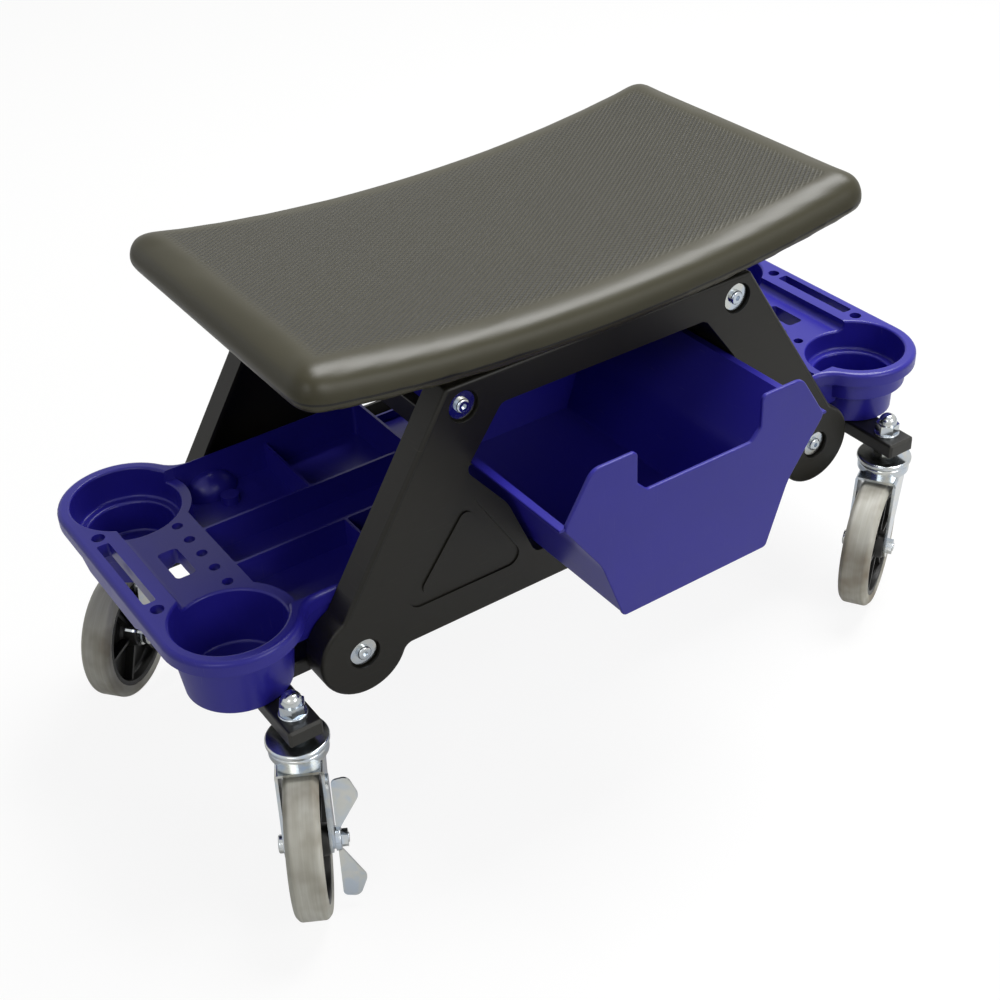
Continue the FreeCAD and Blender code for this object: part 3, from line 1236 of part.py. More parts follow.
def caster(key):
    x_side, y_side = CORNERS[key]
    angle = math.radians(TRAILS[key])
    turn = Rotation(Vector(0, 0, 1), TRAILS[key])
    stem_spot = (f"{x_side}dims.stem_reach_x", f"{y_side}dims.stem_reach_y")
    wheel_spot = (f"{stem_spot[0]} + dims.trail * {math.cos(angle):.6f}",
                  f"{stem_spot[1]} + dims.trail * {math.sin(angle):.6f}", WHEEL_RADIUS)
    braked = key in BRAKES

    stem = new_body(f"stem_{key}")
    race_foot = f"({RACE_TOP} - dims.race_height)"
    stem_hole = "(dims.stem_radius + dims.running_gap)"
    turned(stem, f"stem_{key}_race", [
        (CENTRE, f"{CROWN_FOOT} - dims.fork_crown_gap", 0),
        ("1.4 * dims.stem_radius", f"{CROWN_FOOT} - dims.fork_crown_gap", "dims.overrun"),
        ("1.4 * dims.stem_radius", f"{CROWN_FOOT} - dims.race_gap", 0),
        ("dims.stem_radius", f"{CROWN_FOOT} - dims.race_gap", 0),
        ("dims.stem_radius", race_foot, 0),
        ("dims.race_radius", race_foot, "dims.race_height / 4"),
        ("dims.race_radius", f"{RACE_TOP} - dims.race_height / 4", "dims.race_height / 3"),
        ("1.9 * dims.stem_radius", RACE_TOP, 0),
        ("dims.stem_radius", RACE_TOP, 0),
        ("dims.stem_radius", "dims.beam_top + dims.cap_nut_flange_height"
         " + 0.9 * dims.cap_nut_hex_height", "dims.overrun"),
        (CENTRE, "dims.beam_top + dims.cap_nut_flange_height + 0.9 * dims.cap_nut_hex_height", 0),
    ])
    hexagon = new_sketch(stem, "XY_Plane", f"stem_{key}_hexagon", RACE_TOP)
    draw_hexagon(hexagon, "dims.stem_nut_radius")
    pad(stem, f"stem_{key}_flats", hexagon, "dims.stem_nut_height")
    finished(place(stem, *stem_spot, "0", turn))

    fork = new_body(f"fork_{key}")
    crown_sole = f"({CROWN_FOOT} + dims.fork_wall / 2)"
    turned(fork, f"fork_{key}_crown", [
        (CENTRE, crown_sole, 0), ("dims.fork_crown_radius", crown_sole, "dims.overrun"),
        ("dims.fork_crown_radius", CROWN_TOP, "3 * dims.overrun"), (CENTRE, CROWN_TOP, 0),
    ])
    channel = new_sketch(fork, "YZ_Plane", f"fork_{key}_channel", "-dims.fork_front")
    bend = "1.2 * dims.fork_wall"
    foot = f"({WHEEL_RADIUS} - 2 * dims.fork_eye_radius)"
    draw_outline(channel, [
        (f"-{FORK_OUTER}", foot, 0), (f"-{FORK_INNER}", foot, 0),
        (f"-{FORK_INNER}", CROWN_FOOT, "0.2 * dims.fork_wall"),
        (FORK_INNER, CROWN_FOOT, "0.2 * dims.fork_wall"),
        (FORK_INNER, foot, 0), (FORK_OUTER, foot, 0),
        (FORK_OUTER, f"{CROWN_FOOT} + dims.fork_wall", bend),
        (f"-{FORK_OUTER}", f"{CROWN_FOOT} + dims.fork_wall", bend),
    ])
    pad(fork, f"fork_{key}_legs", channel, "dims.fork_front + dims.trail + 2 * dims.fork_eye_radius")
    trim = new_sketch(fork, "XZ_Plane", f"fork_{key}_trim")
    far = "(dims.trail + 3 * dims.fork_eye_radius)"
    eye_side = "0.98 * dims.fork_eye_radius"
    front_foot = f"{WHEEL_RADIUS} - dims.fork_eye_radius"
    draw_outline(trim, [
        ("-2 * dims.fork_front", f"{foot} - dims.overrun", 0),
        (far, f"{foot} - dims.overrun", 0),
        (far, "dims.beam_top", 0),
        ("dims.fork_back", "dims.beam_top", 0),
        ("dims.fork_back", f"{CROWN_FOOT} - dims.fork_wall", "4 * dims.fork_wall"),
        (f"dims.trail + {eye_side}", f"{WHEEL_RADIUS} + 0.2 * dims.fork_eye_radius",
         "0.6 * dims.fork_eye_radius"),
        (f"dims.trail + 0.9 * {eye_side}", front_foot, "0.85 * dims.fork_eye_radius"),
        (f"dims.trail - 0.9 * {eye_side}", front_foot, "0.85 * dims.fork_eye_radius"),
        (f"dims.trail - {eye_side}", f"{WHEEL_RADIUS} + 0.2 * dims.fork_eye_radius",
         "0.6 * dims.fork_eye_radius"),
        ("-dims.fork_front", f"{CROWN_FOOT} - 2 * dims.fork_wall", "2 * dims.fork_wall"),
        ("-dims.fork_front", f"{CROWN_FOOT} - dims.overrun", 0),
        ("-2 * dims.fork_front", f"{CROWN_FOOT} - dims.overrun", 0),
    ])
    pocket(fork, f"fork_{key}_side_trim", trim, Midplane=True)
    hole = new_sketch(fork, "XY_Plane", f"fork_{key}_stem_hole", CROWN_FOOT)
    draw_circle(hole, stem_hole)
    pocket(fork, f"fork_{key}_swivel_bore", hole, f"{CROWN_TOP} - {CROWN_FOOT} + dims.overrun",
           Reversed=True)
    bolt = new_sketch(fork, "XZ_Plane", f"fork_{key}_axle_hole")
    draw_circle(bolt, "dims.axle_radius + dims.running_gap", "dims.trail", WHEEL_RADIUS)
    pocket(fork, f"fork_{key}_axle_bore", bolt, Midplane=True)
    finished(place(fork, *stem_spot, "0", turn))

    tyre = new_body(f"tyre_{key}")
    half_tread = "(dims.tread_width / 2)"
    half_hub = "(dims.hub_width / 2)"
    seat_radius = f"({WHEEL_RADIUS} - dims.tread_depth)"
    turned(tyre, f"tyre_{key}_tread", [
        (f"{seat_radius} + dims.seat_fit", f"-{half_hub}", 0),
        (f"{WHEEL_RADIUS} - 1.2 * dims.tread_round", f"-{half_tread}", "dims.tread_round"),
        (WHEEL_RADIUS, f"-{half_tread} * 0.72", "dims.tread_round"),
        (WHEEL_RADIUS, f"{half_tread} * 0.72", "dims.tread_round"),
        (f"{WHEEL_RADIUS} - 1.2 * dims.tread_round", half_tread, "dims.tread_round"),
        (f"{seat_radius} + dims.seat_fit", half_hub, 0),
    ], plane="XY_Plane")
    finished(place(tyre, *wheel_spot, turn))

    hub = new_body(f"hub_{key}")
    web = "(dims.hub_web / 2)"
    boss = f"({FORK_INNER} - dims.seat_fit)"
    bore = "(dims.bush_radius + dims.running_gap)"
    rim_inner = f"({seat_radius} - dims.hub_rim_wall)"
    turned(hub, f"hub_{key}_wheel", [
        (bore, f"-{boss}", 0), ("dims.hub_boss_radius * 0.85", f"-{boss}", "dims.overrun"),
        ("dims.hub_boss_radius", f"-{web}", "dims.hub_rim_wall"),
        (f"{rim_inner} - dims.overrun", f"-{web}", "dims.hub_rim_wall"),
        (rim_inner, f"-{half_hub}", "dims.overrun"), (seat_radius, f"-{half_hub}", 0),
        (seat_radius, half_hub, 0), (rim_inner, half_hub, "dims.overrun"),
        (f"{rim_inner} - dims.overrun", web, "dims.hub_rim_wall"),
        ("dims.hub_boss_radius", web, "dims.hub_rim_wall"),
        ("dims.hub_boss_radius * 0.85", boss, "dims.overrun"), (bore, boss, 0),
    ], plane="XY_Plane")
    spokes = new_sketch(hub, "XZ_Plane", f"hub_{key}_spokes")
    for number in range(int(value("dims.hub_spokes"))):
        way = 2 * math.pi * number / value("dims.hub_spokes")
        corners = []
        for reach, side in (("dims.hub_boss_radius * 0.8", 1), (f"{rim_inner} + dims.overrun", 1),
                            (f"{rim_inner} + dims.overrun", -1),
                            ("dims.hub_boss_radius * 0.8", -1)):
            corners.append((
                f"({reach}) * {math.cos(way):.6f} - dims.spoke_wall * {side * math.sin(way) / 2:.6f}",
                f"({reach}) * {math.sin(way):.6f} + dims.spoke_wall * {side * math.cos(way) / 2:.6f}",
                0))
        draw_outline(spokes, corners)
    pad(hub, f"hub_{key}_spoke", spokes, "dims.hub_width * 0.8", Midplane=True)
    finished(place(hub, *wheel_spot, turn))

    bush = new_body(f"axle_bush_{key}")
    ring = new_sketch(bush, "XZ_Plane", f"axle_bush_{key}_ring")
    draw_circle(ring, "dims.bush_radius")
    draw_circle(ring, "dims.axle_radius + dims.running_gap")
    pad(bush, f"axle_bush_{key}_tube", ring, f"2 * {FORK_INNER}", Midplane=True)
    finished(place(bush, *wheel_spot, turn))

    stack = FORK_OUTER
    if braked:
        stack = f"({FORK_OUTER} + dims.brake_plate_wall + dims.wing_gap + dims.wing_hub_width" \
                " + dims.wing_gap)"
    nut_end = f"({stack} + dims.axle_nut_height)"
    axle = new_body(f"axle_{key}")
    turned(axle, f"axle_{key}_pin", [
        (CENTRE, f"-({FORK_OUTER} + dims.axle_head_height)", 0),
        ("dims.axle_head_radius", f"-({FORK_OUTER} + dims.axle_head_height)",
         "dims.axle_head_height / 3"),
        ("dims.axle_head_radius", f"-{FORK_OUTER}", 0), ("dims.axle_radius", f"-{FORK_OUTER}", 0),
        ("dims.axle_radius", f"{nut_end} + dims.overrun", "dims.overrun / 2"),
        (CENTRE, f"{nut_end} + dims.overrun", 0),
    ], plane="XY_Plane")
    finished(place(axle, *wheel_spot, turn))
    nut = new_body(f"axle_nut_{key}")
    flats = new_sketch(nut, "XZ_Plane", f"axle_nut_{key}_flats", f"-{nut_end}")
    draw_hexagon(flats, "dims.axle_head_radius")
    pad(nut, f"axle_nut_{key}_block", flats, "dims.axle_nut_height")
    bolt = new_sketch(nut, "XZ_Plane", f"axle_nut_{key}_bore")
    draw_circle(bolt, "dims.axle_radius + dims.running_gap")
    pocket(nut, f"axle_nut_{key}_thread", bolt, Midplane=True)
    finished(place(nut, *wheel_spot, turn))

    if not braked:
        return
    strap = new_body(f"brake_strap_{key}")
    outline = new_sketch(strap, "XZ_Plane", f"brake_strap_{key}_outline",
                         f"-({FORK_OUTER} + dims.brake_plate_wall)")
    half_strap = "dims.brake_plate_half_width"
    draw_outline(outline, [
        (f"dims.trail - {half_strap}", f"{WHEEL_RADIUS} - {half_strap}", f"0.9 * {half_strap}"),
        (f"dims.trail + {half_strap}", f"{WHEEL_RADIUS} - {half_strap}", f"0.9 * {half_strap}"),
        (f"dims.trail - 0.2 * {half_strap}", f"{WHEEL_RADIUS} + dims.brake_plate_reach",
         f"0.4 * {half_strap}"),
        (f"dims.trail - 2.2 * {half_strap}", f"{WHEEL_RADIUS} + dims.brake_plate_reach",
         f"0.4 * {half_strap}"),
    ])
    pad(strap, f"brake_strap_{key}_plate", outline, "dims.brake_plate_wall")
    bolt = new_sketch(strap, "XZ_Plane", f"brake_strap_{key}_hole")
    draw_circle(bolt, "dims.axle_radius + dims.running_gap", "dims.trail", WHEEL_RADIUS)
    pocket(strap, f"brake_strap_{key}_bore", bolt, Midplane=True)
    finished(place(strap, *stem_spot, "0", turn))

    lever = new_body(f"brake_lever_{key}")
    lever_foot = f"({FORK_OUTER} + dims.brake_plate_wall + dims.wing_gap)"
    lever_top = f"({lever_foot} + dims.wing_hub_width)"
    turned(lever, f"brake_lever_{key}_hub", [
        ("dims.axle_radius + dims.running_gap", lever_foot, 0),
        ("dims.wing_hub_radius", lever_foot, 0),
        ("dims.wing_hub_radius", lever_top, "dims.overrun"),
        ("dims.axle_radius + dims.running_gap", lever_top, 0),
    ], plane="XY_Plane")
    for index, side in enumerate(("", "-")):
        wing = new_sketch(lever, "YZ_Plane", f"brake_lever_{key}_wing_{index}")
        draw_outline(wing, [
            (f"{lever_foot} + dims.overrun", f"{side}(0.6 * dims.wing_hub_radius)", 0),
            (f"{lever_top} + dims.overrun", f"{side}(1.15 * dims.wing_hub_radius)", "dims.overrun"),
            (f"{lever_top} + 0.32 * dims.wing_reach", f"{side}(0.68 * dims.wing_reach)",
             "0.12 * dims.wing_reach"),
            (f"{lever_top} + 0.18 * dims.wing_reach", f"{side}dims.wing_reach",
             "0.12 * dims.wing_reach"),
            (f"{lever_foot} + dims.overrun", f"{side}(0.96 * dims.wing_reach)",
             "0.08 * dims.wing_reach"),
        ])
        pad(lever, f"brake_lever_{key}_blade_{index}", wing, "dims.wing_wall", Midplane=True)
    finished(place(lever, *wheel_spot, turn.multiply(Rotation(Vector(0, 1, 0), BRAKES[key]))))


for key in CORNERS:
    caster(key)


# Every sub-part is checked and written out

doc.recompute()
for item in doc.Objects:
    if "Invalid" in item.State or "Error" in item.State:
        raise ValueError(f"{item.Name} is {item.State}")
    if item.TypeId == "Sketcher::SketchObject" and not item.FullyConstrained:
        raise ValueError(f"{item.Name} is not fully constrained")
os.makedirs("parts", exist_ok=True)
for item in parts:
    shape = item.Shape
    if shape.isNull() or not shape.isValid():
        raise ValueError(f"{item.Label} has no valid shape")
    shape.exportStep(f"parts/{item.Label}.step")
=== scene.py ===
import json
import math

import bmesh
import bpy
from mathutils import Matrix, Vector


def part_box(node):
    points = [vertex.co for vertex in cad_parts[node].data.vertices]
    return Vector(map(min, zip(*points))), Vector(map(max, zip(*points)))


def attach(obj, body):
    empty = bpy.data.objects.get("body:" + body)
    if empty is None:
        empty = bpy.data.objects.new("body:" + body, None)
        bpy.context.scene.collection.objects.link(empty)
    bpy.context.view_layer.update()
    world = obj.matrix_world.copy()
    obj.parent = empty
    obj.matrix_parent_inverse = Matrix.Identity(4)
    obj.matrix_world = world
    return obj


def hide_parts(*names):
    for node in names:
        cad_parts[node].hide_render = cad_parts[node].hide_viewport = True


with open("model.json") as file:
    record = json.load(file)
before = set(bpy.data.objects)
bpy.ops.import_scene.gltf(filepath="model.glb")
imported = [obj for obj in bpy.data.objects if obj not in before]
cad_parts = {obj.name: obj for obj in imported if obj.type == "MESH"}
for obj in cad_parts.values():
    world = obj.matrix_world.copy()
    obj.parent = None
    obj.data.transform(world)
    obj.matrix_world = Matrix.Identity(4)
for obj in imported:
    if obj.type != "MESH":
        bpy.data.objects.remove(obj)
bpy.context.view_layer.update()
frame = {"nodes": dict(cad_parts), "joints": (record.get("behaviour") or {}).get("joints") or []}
nodes = frame["nodes"]


# Seat cushion
# Polyurethane foam with its own skin, moulded as a saddle over the board. The mould leaves a
# lattice of small pits on top, a smooth margin round it and a fine lip above the foot. The pits
# and the lip are painted darker, as painted shade in them.

SADDLE_RISE = 0.026
CUSHION_DEPTH = 0.034
CUSHION_CORNER = 0.022
CUSHION_SHOULDER = 0.0205
CUSHION_TOE = 0.0085
CUSHION_SWELL = 0.001
CORNER_SEGMENTS = 8
RIM_SEGMENTS = 7
SLICES = 36
VOXEL = 0.005
FOAM_PRESSURE = 4
FOAM_FRAMES = 20
SWELL_CAP = 0.0016
SMOOTHING_PASSES = 6
PIT_LENGTH = 0.0069
PIT_WIDTH = 0.0048
PIT_DEPTH = 0.0005
PIT_MARGIN = 0.034
PIT_RISE = (0.019, 0.021)
RIB_SHARES = (0.08, 0.3)
CROSS_RIB_SHARE = 0.45
LIP_HEIGHT = 0.0095
LIP_HALF = 0.0009
LIP_DEPTH = 0.0006
SKIN_GRAIN = 0.0008
SKIN_GRAIN_DEPTH = 0.000035
WEAR_SIZE = 0.09

cushion_low, cushion_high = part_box("seat_pad")
CUSHION_X = cushion_high.x
CUSHION_Y = cushion_high.y
SADDLE_RADIUS = (CUSHION_X ** 2 + SADDLE_RISE ** 2) / (2 * SADDLE_RISE)


def linear(code):
    """Linear RGBA of an sRGB hex colour."""
    parts = [int(code[place:place + 2], 16) / 255 for place in (1, 3, 5)]
    return [part / 12.92 if part <= 0.04045 else ((part + 0.055) / 1.055) ** 2.4
            for part in parts] + [1]


def add(tree, kind, links=None, **settings):
    """Adds a shader node with its settings; links gives its sockets values, nodes or sockets."""
    node = tree.nodes.new("ShaderNode" + kind)
    for name, setting in settings.items():
        setattr(node, name, setting)
    for name, source in (links or {}).items():
        if isinstance(source, bpy.types.Node):
            source = source.outputs[0]
        if isinstance(source, bpy.types.NodeSocket):
            tree.links.new(source, node.inputs[name])
        else:
            node.inputs[name].default_value = source
    return node


def new_material(name, **sockets):
    """Material with one Principled shader, its node tree, and the object's own coordinates."""
    material = bpy.data.materials.new(name)
    material.use_nodes = True
    tree = material.node_tree
    shader = tree.nodes["Principled BSDF"]
    for socket, setting in sockets.items():
        shader.inputs[socket.replace("_", " ")].default_value = setting
    return material, tree, shader, add(tree, "TexCoord").outputs["Object"]


def surface(tree, shader, colour, gloss, height, depth=1):
    """Links colour, roughness and relief to the shader; a height of 1 stands depth metres high."""
    tree.links.new(colour.outputs[2], shader.inputs["Base Color"])
    if gloss is not None:
        tree.links.new(gloss.outputs[0], shader.inputs["Roughness"])
    bump = add(tree, "Bump", {"Height": height, "Distance": depth, "Strength": 1})
    tree.links.new(bump.outputs[0], shader.inputs["Normal"])


def repeats(*sizes):
    """Texture scales that give a pattern these sizes along X, Y and Z."""
    return tuple(1 / size for size in sizes)


def new_piece(name, mesh, material):
    """Object at the origin from a bmesh, with one material and smooth faces."""
    data = bpy.data.meshes.new(name)
    mesh.to_mesh(data)
    mesh.free()
    piece = bpy.data.objects.new(name, data)
    bpy.context.scene.collection.objects.link(piece)
    data.materials.append(material)
    data.shade_smooth()
    return piece


def apply_modifiers(piece):
    """Bakes a piece's modifiers into its mesh."""
    graph = bpy.context.evaluated_depsgraph_get()
    data = bpy.data.meshes.new_from_object(piece.evaluated_get(graph))
    piece.modifiers.clear()
    piece.data = data


def saddle(x):
    """How far the saddle has risen at x above its middle."""
    return SADDLE_RADIUS - math.sqrt(SADDLE_RADIUS ** 2 - x ** 2)


def plan_margin(x, y):
    """How far a point lies inside the cushion's rounded outline, seen from above."""
    side_x = abs(x) - (CUSHION_X - CUSHION_CORNER)
    side_y = abs(y) - (CUSHION_Y - CUSHION_CORNER)
    outside = math.hypot(max(side_x, 0), max(side_y, 0))
    return CUSHION_CORNER - outside - min(max(side_x, side_y), 0)


foam_skin, tree, shader, spot = new_material("integral_skin_polyurethane", IOR=1.46,
                                             Specular_IOR_Level=0.42)
# Pits at the crossings of a diamond lattice; the ribs between them that run one way are higher
lattice = add(tree, "Mapping", {"Vector": spot, "Scale": (*repeats(PIT_LENGTH, PIT_WIDTH), 0)})
apart = add(tree, "SeparateXYZ", {"Vector": lattice})
ribs = []
for operation, lowest in (("ADD", 1 - CROSS_RIB_SHARE), ("SUBTRACT", 0)):
    count = add(tree, "Math", {0: apart.outputs["X"], 1: apart.outputs["Y"]}, operation=operation)
    wave = add(tree, "Math", {0: count, 1: 0.5}, operation="PINGPONG")
    ribs.append(add(tree, "MapRange", {"Value": wave, "From Min": RIB_SHARES[0],
                                       "From Max": RIB_SHARES[1], "To Min": lowest},
                    interpolation_type="SMOOTHSTEP"))
pits = add(tree, "Math", {0: ribs[0], 1: ribs[1]}, operation="MULTIPLY")
margin = add(tree, "Attribute", attribute_name="margin").outputs["Fac"]
rise = add(tree, "Attribute", attribute_name="rise").outputs["Fac"]
inside = add(tree, "MapRange", {"Value": margin, "From Min": PIT_MARGIN - PIT_WIDTH,
                                "From Max": PIT_MARGIN + PIT_WIDTH})
above = add(tree, "MapRange", {"Value": rise, "From Min": PIT_RISE[0], "From Max": PIT_RISE[1]})
field = add(tree, "Math", {0: inside, 1: above}, operation="MULTIPLY")
pits = add(tree, "Math", {0: pits, 1: field}, operation="MULTIPLY")
lip = add(tree, "Math", {0: rise, 1: LIP_HEIGHT, 2: LIP_HALF}, operation="COMPARE")
# A fine leather grain, and broad wear from sitting
grain = add(tree, "TexVoronoi", {"Vector": spot, "Scale": 1 / SKIN_GRAIN}, feature="F1")
wear = add(tree, "TexNoise", {"Vector": spot, "Scale": 1 / WEAR_SIZE, "Detail": 3})
skin = add(tree, "Mix", {"Factor": wear, 6: linear("#353220"), 7: linear("#3e3b28")}, data_type="RGBA")
# The pits are painted darker: painted shade in the hollows.
skin = add(tree, "Mix", {"Factor": pits, 6: skin.outputs[2], 7: linear("#22211a")}, data_type="RGBA")
# The lip's line above the foot is painted dark: painted shade in its groove.
skin = add(tree, "Mix", {"Factor": lip, 6: skin.outputs[2], 7: linear("#181713")}, data_type="RGBA")
gloss = add(tree, "MapRange", {"Value": wear, "To Min": 0.34, "To Max": 0.42})
relief = add(tree, "Math", {0: pits, 1: -PIT_DEPTH}, operation="MULTIPLY")
relief = add(tree, "Math", {0: grain, 1: -SKIN_GRAIN_DEPTH, 2: relief}, operation="MULTIPLY_ADD")
relief = add(tree, "Math", {0: lip, 1: -LIP_DEPTH, 2: relief}, operation="MULTIPLY_ADD")
surface(tree, shader, skin, gloss, relief)

foam = bmesh.new()
bmesh.ops.create_cube(foam, size=1)
body_size = (2 * (CUSHION_X - CUSHION_SWELL), 2 * (CUSHION_Y - CUSHION_SWELL),
             CUSHION_DEPTH - CUSHION_SWELL)
bmesh.ops.scale(foam, vec=body_size, verts=foam.verts)
bmesh.ops.translate(foam, vec=(0, 0, body_size[2] / 2), verts=foam.verts)
upright = [edge for edge in foam.edges if abs(edge.verts[0].co.z - edge.verts[1].co.z) > VOXEL]
bmesh.ops.bevel(foam, geom=upright, offset=CUSHION_CORNER, segments=CORNER_SEGMENTS, profile=0.5,
                affect="EDGES", material=-1)
for level, rounding in ((body_size[2], CUSHION_SHOULDER), (0, CUSHION_TOE)):
    rim = [edge for edge in foam.edges
           if all(abs(vertex.co.z - level) < VOXEL / 10 for vertex in edge.verts)]
    bmesh.ops.bevel(foam, geom=rim, offset=rounding, segments=RIM_SEGMENTS, profile=0.5,
                    affect="EDGES", material=-1)
for index in range(1, SLICES):
    place = (2 * index / SLICES - 1) * CUSHION_X
    bmesh.ops.bisect_plane(foam, geom=foam.verts[:] + foam.edges[:] + foam.faces[:],
                           plane_co=(place, 0, 0), plane_no=(1, 0, 0))
for vertex in foam.verts:
    vertex.co.z += cushion_low.z + saddle(vertex.co.x)
seat_cushion = new_piece("seat_cushion", foam, foam_skin)
remesh = seat_cushion.modifiers.new("remesh", "REMESH")
remesh.mode = "VOXEL"
remesh.voxel_size = VOXEL
apply_modifiers(seat_cushion)

# The foam presses its skin outwards; the underside is held by the board
rest_points = [vertex.co.copy() for vertex in seat_cushion.data.vertices]
held = seat_cushion.vertex_groups.new(name="held")
for index, point in enumerate(rest_points):
    if point.z - cushion_low.z - saddle(point.x) < CUSHION_TOE:
        held.add([index], 1, "REPLACE")
cloth = seat_cushion.modifiers.new("foam", "CLOTH")
cloth.settings.use_pressure = True
cloth.settings.uniform_pressure_force = FOAM_PRESSURE
cloth.settings.effector_weights.gravity = 0
cloth.settings.vertex_group_mass = "held"
cloth.point_cache.frame_end = FOAM_FRAMES
for number in range(1, FOAM_FRAMES + 1):
    bpy.context.scene.frame_set(number)
apply_modifiers(seat_cushion)
seat_cushion.vertex_groups.clear()
for vertex, start in zip(seat_cushion.data.vertices, rest_points):
    move = vertex.co - start
    if move.length > SWELL_CAP:
        vertex.co = start + move * (SWELL_CAP / move.length)
bpy.context.scene.frame_set(1)

even = seat_cushion.modifiers.new("even", "SMOOTH")
even.factor = 0.5
even.iterations = SMOOTHING_PASSES
fine = seat_cushion.modifiers.new("fine", "SUBSURF")
fine.levels = 1
fine.render_levels = 1
apply_modifiers(seat_cushion)
seat_cushion.data.shade_smooth()
for name in ("margin", "rise"):
    seat_cushion.data.attributes.new(name, "FLOAT", "POINT")
for index, vertex in enumerate(seat_cushion.data.vertices):
    margin_here = plan_margin(vertex.co.x, vertex.co.y)
    rise_here = vertex.co.z - cushion_low.z - saddle(vertex.co.x)
    seat_cushion.data.attributes["margin"].data[index].value = margin_here
    seat_cushion.data.attributes["rise"].data[index].value = rise_here
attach(seat_cushion, "frame")
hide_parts("seat_pad")


# Seat board
# Plywood let into the underside of the cushion, stained dark. Only its edge can be seen, from
# below, with the rotary-cut figure running along it.

VENEER_FIGURE = (0.08, 0.004, 0.0015)
FIGURE_DEPTH = 0.0002


def finish(material, *names):
    """Gives CAD nodes a better material in the slot that they have."""
    for name in names:
        for slot in nodes[name].material_slots:
            slot.material = material


stained_ply, tree, shader, spot = new_material("stained_birch_plywood", Roughness=0.6)
along = add(tree, "Mapping", {"Vector": spot, "Scale": repeats(*VENEER_FIGURE)})
figure = add(tree, "TexNoise", {"Vector": along, "Scale": 1, "Detail": 4, "Distortion": 0.6})
wood = add(tree, "Mix", {"Factor": figure, 6: linear("#1d1813"), 7: linear("#3a2f24")}, data_type="RGBA")
surface(tree, shader, wood, None, figure, FIGURE_DEPTH)
finish(stained_ply, "seat_base")


# Side panels
# Two ABS mouldings, charcoal, with a spark-eroded grain that scatters light into a satin. A
# fine crease runs along the slanted edges, where the mould's insert meets its frame. The crease
# is painted darker, as painted shade in it.

CREASE_LEAN = Vector((0.847, 0, 0.531))
CREASE_REACH = 0.3362 - 0.0036
CREASE_HALF = 0.0005
CREASE_DEPTH = 0.0005
PANEL_EDGE_Z = (0.216, 0.384)
SPARK_GRAIN = 0.0009
SPARK_DEPTH = 0.00005
PANEL_CLOUD = 0.06
PANEL_SCUFF = (0.03, 0.03, 0.0006)
PANEL_SCUFF_TURN = (0, 0.5, 0)
PANEL_SCUFF_SHARES = (0.66, 0.74)

charcoal_abs, tree, shader, spot = new_material("spark_eroded_abs", IOR=1.52, Specular_IOR_Level=0.3)
# The real grain is half as wide, and would not show
grain = add(tree, "TexNoise", {"Vector": spot, "Scale": 1 / SPARK_GRAIN, "Detail": 2})
cloud = add(tree, "TexNoise", {"Vector": spot, "Scale": 1 / PANEL_CLOUD, "Detail": 4})
scuffs = add(tree, "Mapping", {"Vector": spot, "Scale": repeats(*PANEL_SCUFF),
                               "Rotation": PANEL_SCUFF_TURN})
scuffs = add(tree, "TexNoise", {"Vector": scuffs, "Scale": 1, "Detail": 2})
scuffs = add(tree, "MapRange", {"Value": scuffs, "From Min": PANEL_SCUFF_SHARES[0],
                                "From Max": PANEL_SCUFF_SHARES[1]})
mirrored = add(tree, "VectorMath", {0: spot}, operation="ABSOLUTE")
reach = add(tree, "VectorMath", {0: mirrored, 1: CREASE_LEAN}, operation="DOT_PRODUCT")
crease = add(tree, "Math", {0: reach.outputs["Value"], 1: CREASE_REACH, 2: CREASE_HALF},
             operation="COMPARE")
height = add(tree, "SeparateXYZ", {"Vector": spot}).outputs["Z"]
middle = sum(PANEL_EDGE_Z) / 2
within = add(tree, "Math", {0: height, 1: middle, 2: PANEL_EDGE_Z[1] - middle}, operation="COMPARE")
crease = add(tree, "Math", {0: crease, 1: within}, operation="MULTIPLY")
tone = add(tree, "Mix", {"Factor": cloud, 6: linear("#171611"), 7: linear("#1e1c16")}, data_type="RGBA")
tone = add(tree, "Mix", {"Factor": scuffs, 6: tone.outputs[2], 7: linear("#2c2a23")}, data_type="RGBA")
# The crease is painted dark: painted shade in its groove.
tone = add(tree, "Mix", {"Factor": crease, 6: tone.outputs[2], 7: linear("#0e0e0b")}, data_type="RGBA")
gloss = add(tree, "MapRange", {"Value": cloud, "To Min": 0.36, "To Max": 0.46})
relief = add(tree, "Math", {0: grain, 1: SPARK_DEPTH}, operation="MULTIPLY")
relief = add(tree, "Math", {0: crease, 1: -CREASE_DEPTH, 2: relief}, operation="MULTIPLY_ADD")
surface(tree, shader, tone, gloss, relief)
finish(charcoal_abs, "side_panel_front", "side_panel_rear")


# Chassis
# Rectangular and round steel tube, welded and powder coated in black. The coat flows into a
# slight orange peel, and is duller in some places than in others.

CORNERS = ("fl", "fr", "rl", "rr")
PEEL_SIZE = 0.002
PEEL_DEPTH = 0.00006
COAT_CLOUD = 0.03

powder_coat, tree, shader, spot = new_material("black_powder_coat", IOR=1.5)
peel = add(tree, "TexNoise", {"Vector": spot, "Scale": 1 / PEEL_SIZE, "Detail": 1})
cloud = add(tree, "TexNoise", {"Vector": spot, "Scale": 1 / COAT_CLOUD, "Detail": 4})
tone = add(tree, "Mix", {"Factor": cloud, 6: linear("#100f0c"), 7: linear("#191814")}, data_type="RGBA")
gloss = add(tree, "MapRange", {"Value": cloud, "To Min": 0.28, "To Max": 0.45})
surface(tree, shader, tone, gloss, peel, PEEL_DEPTH)
finish(powder_coat, "frame_rail_front", "frame_rail_rear", "spreader_lower_left",
       "spreader_lower_right", "spreader_upper_left", "spreader_upper_right",
       "runner_left", "runner_right", *(f"caster_arm_{key}" for key in CORNERS))


# Beam plugs
# Low-density polyethylene, pressed into the open ends of the caster arms. Soft, matt and a little
# waxy, with the fine texture of its mould.

PLUG_GRAIN = 0.0007
MOULD_DEPTH = 0.00006

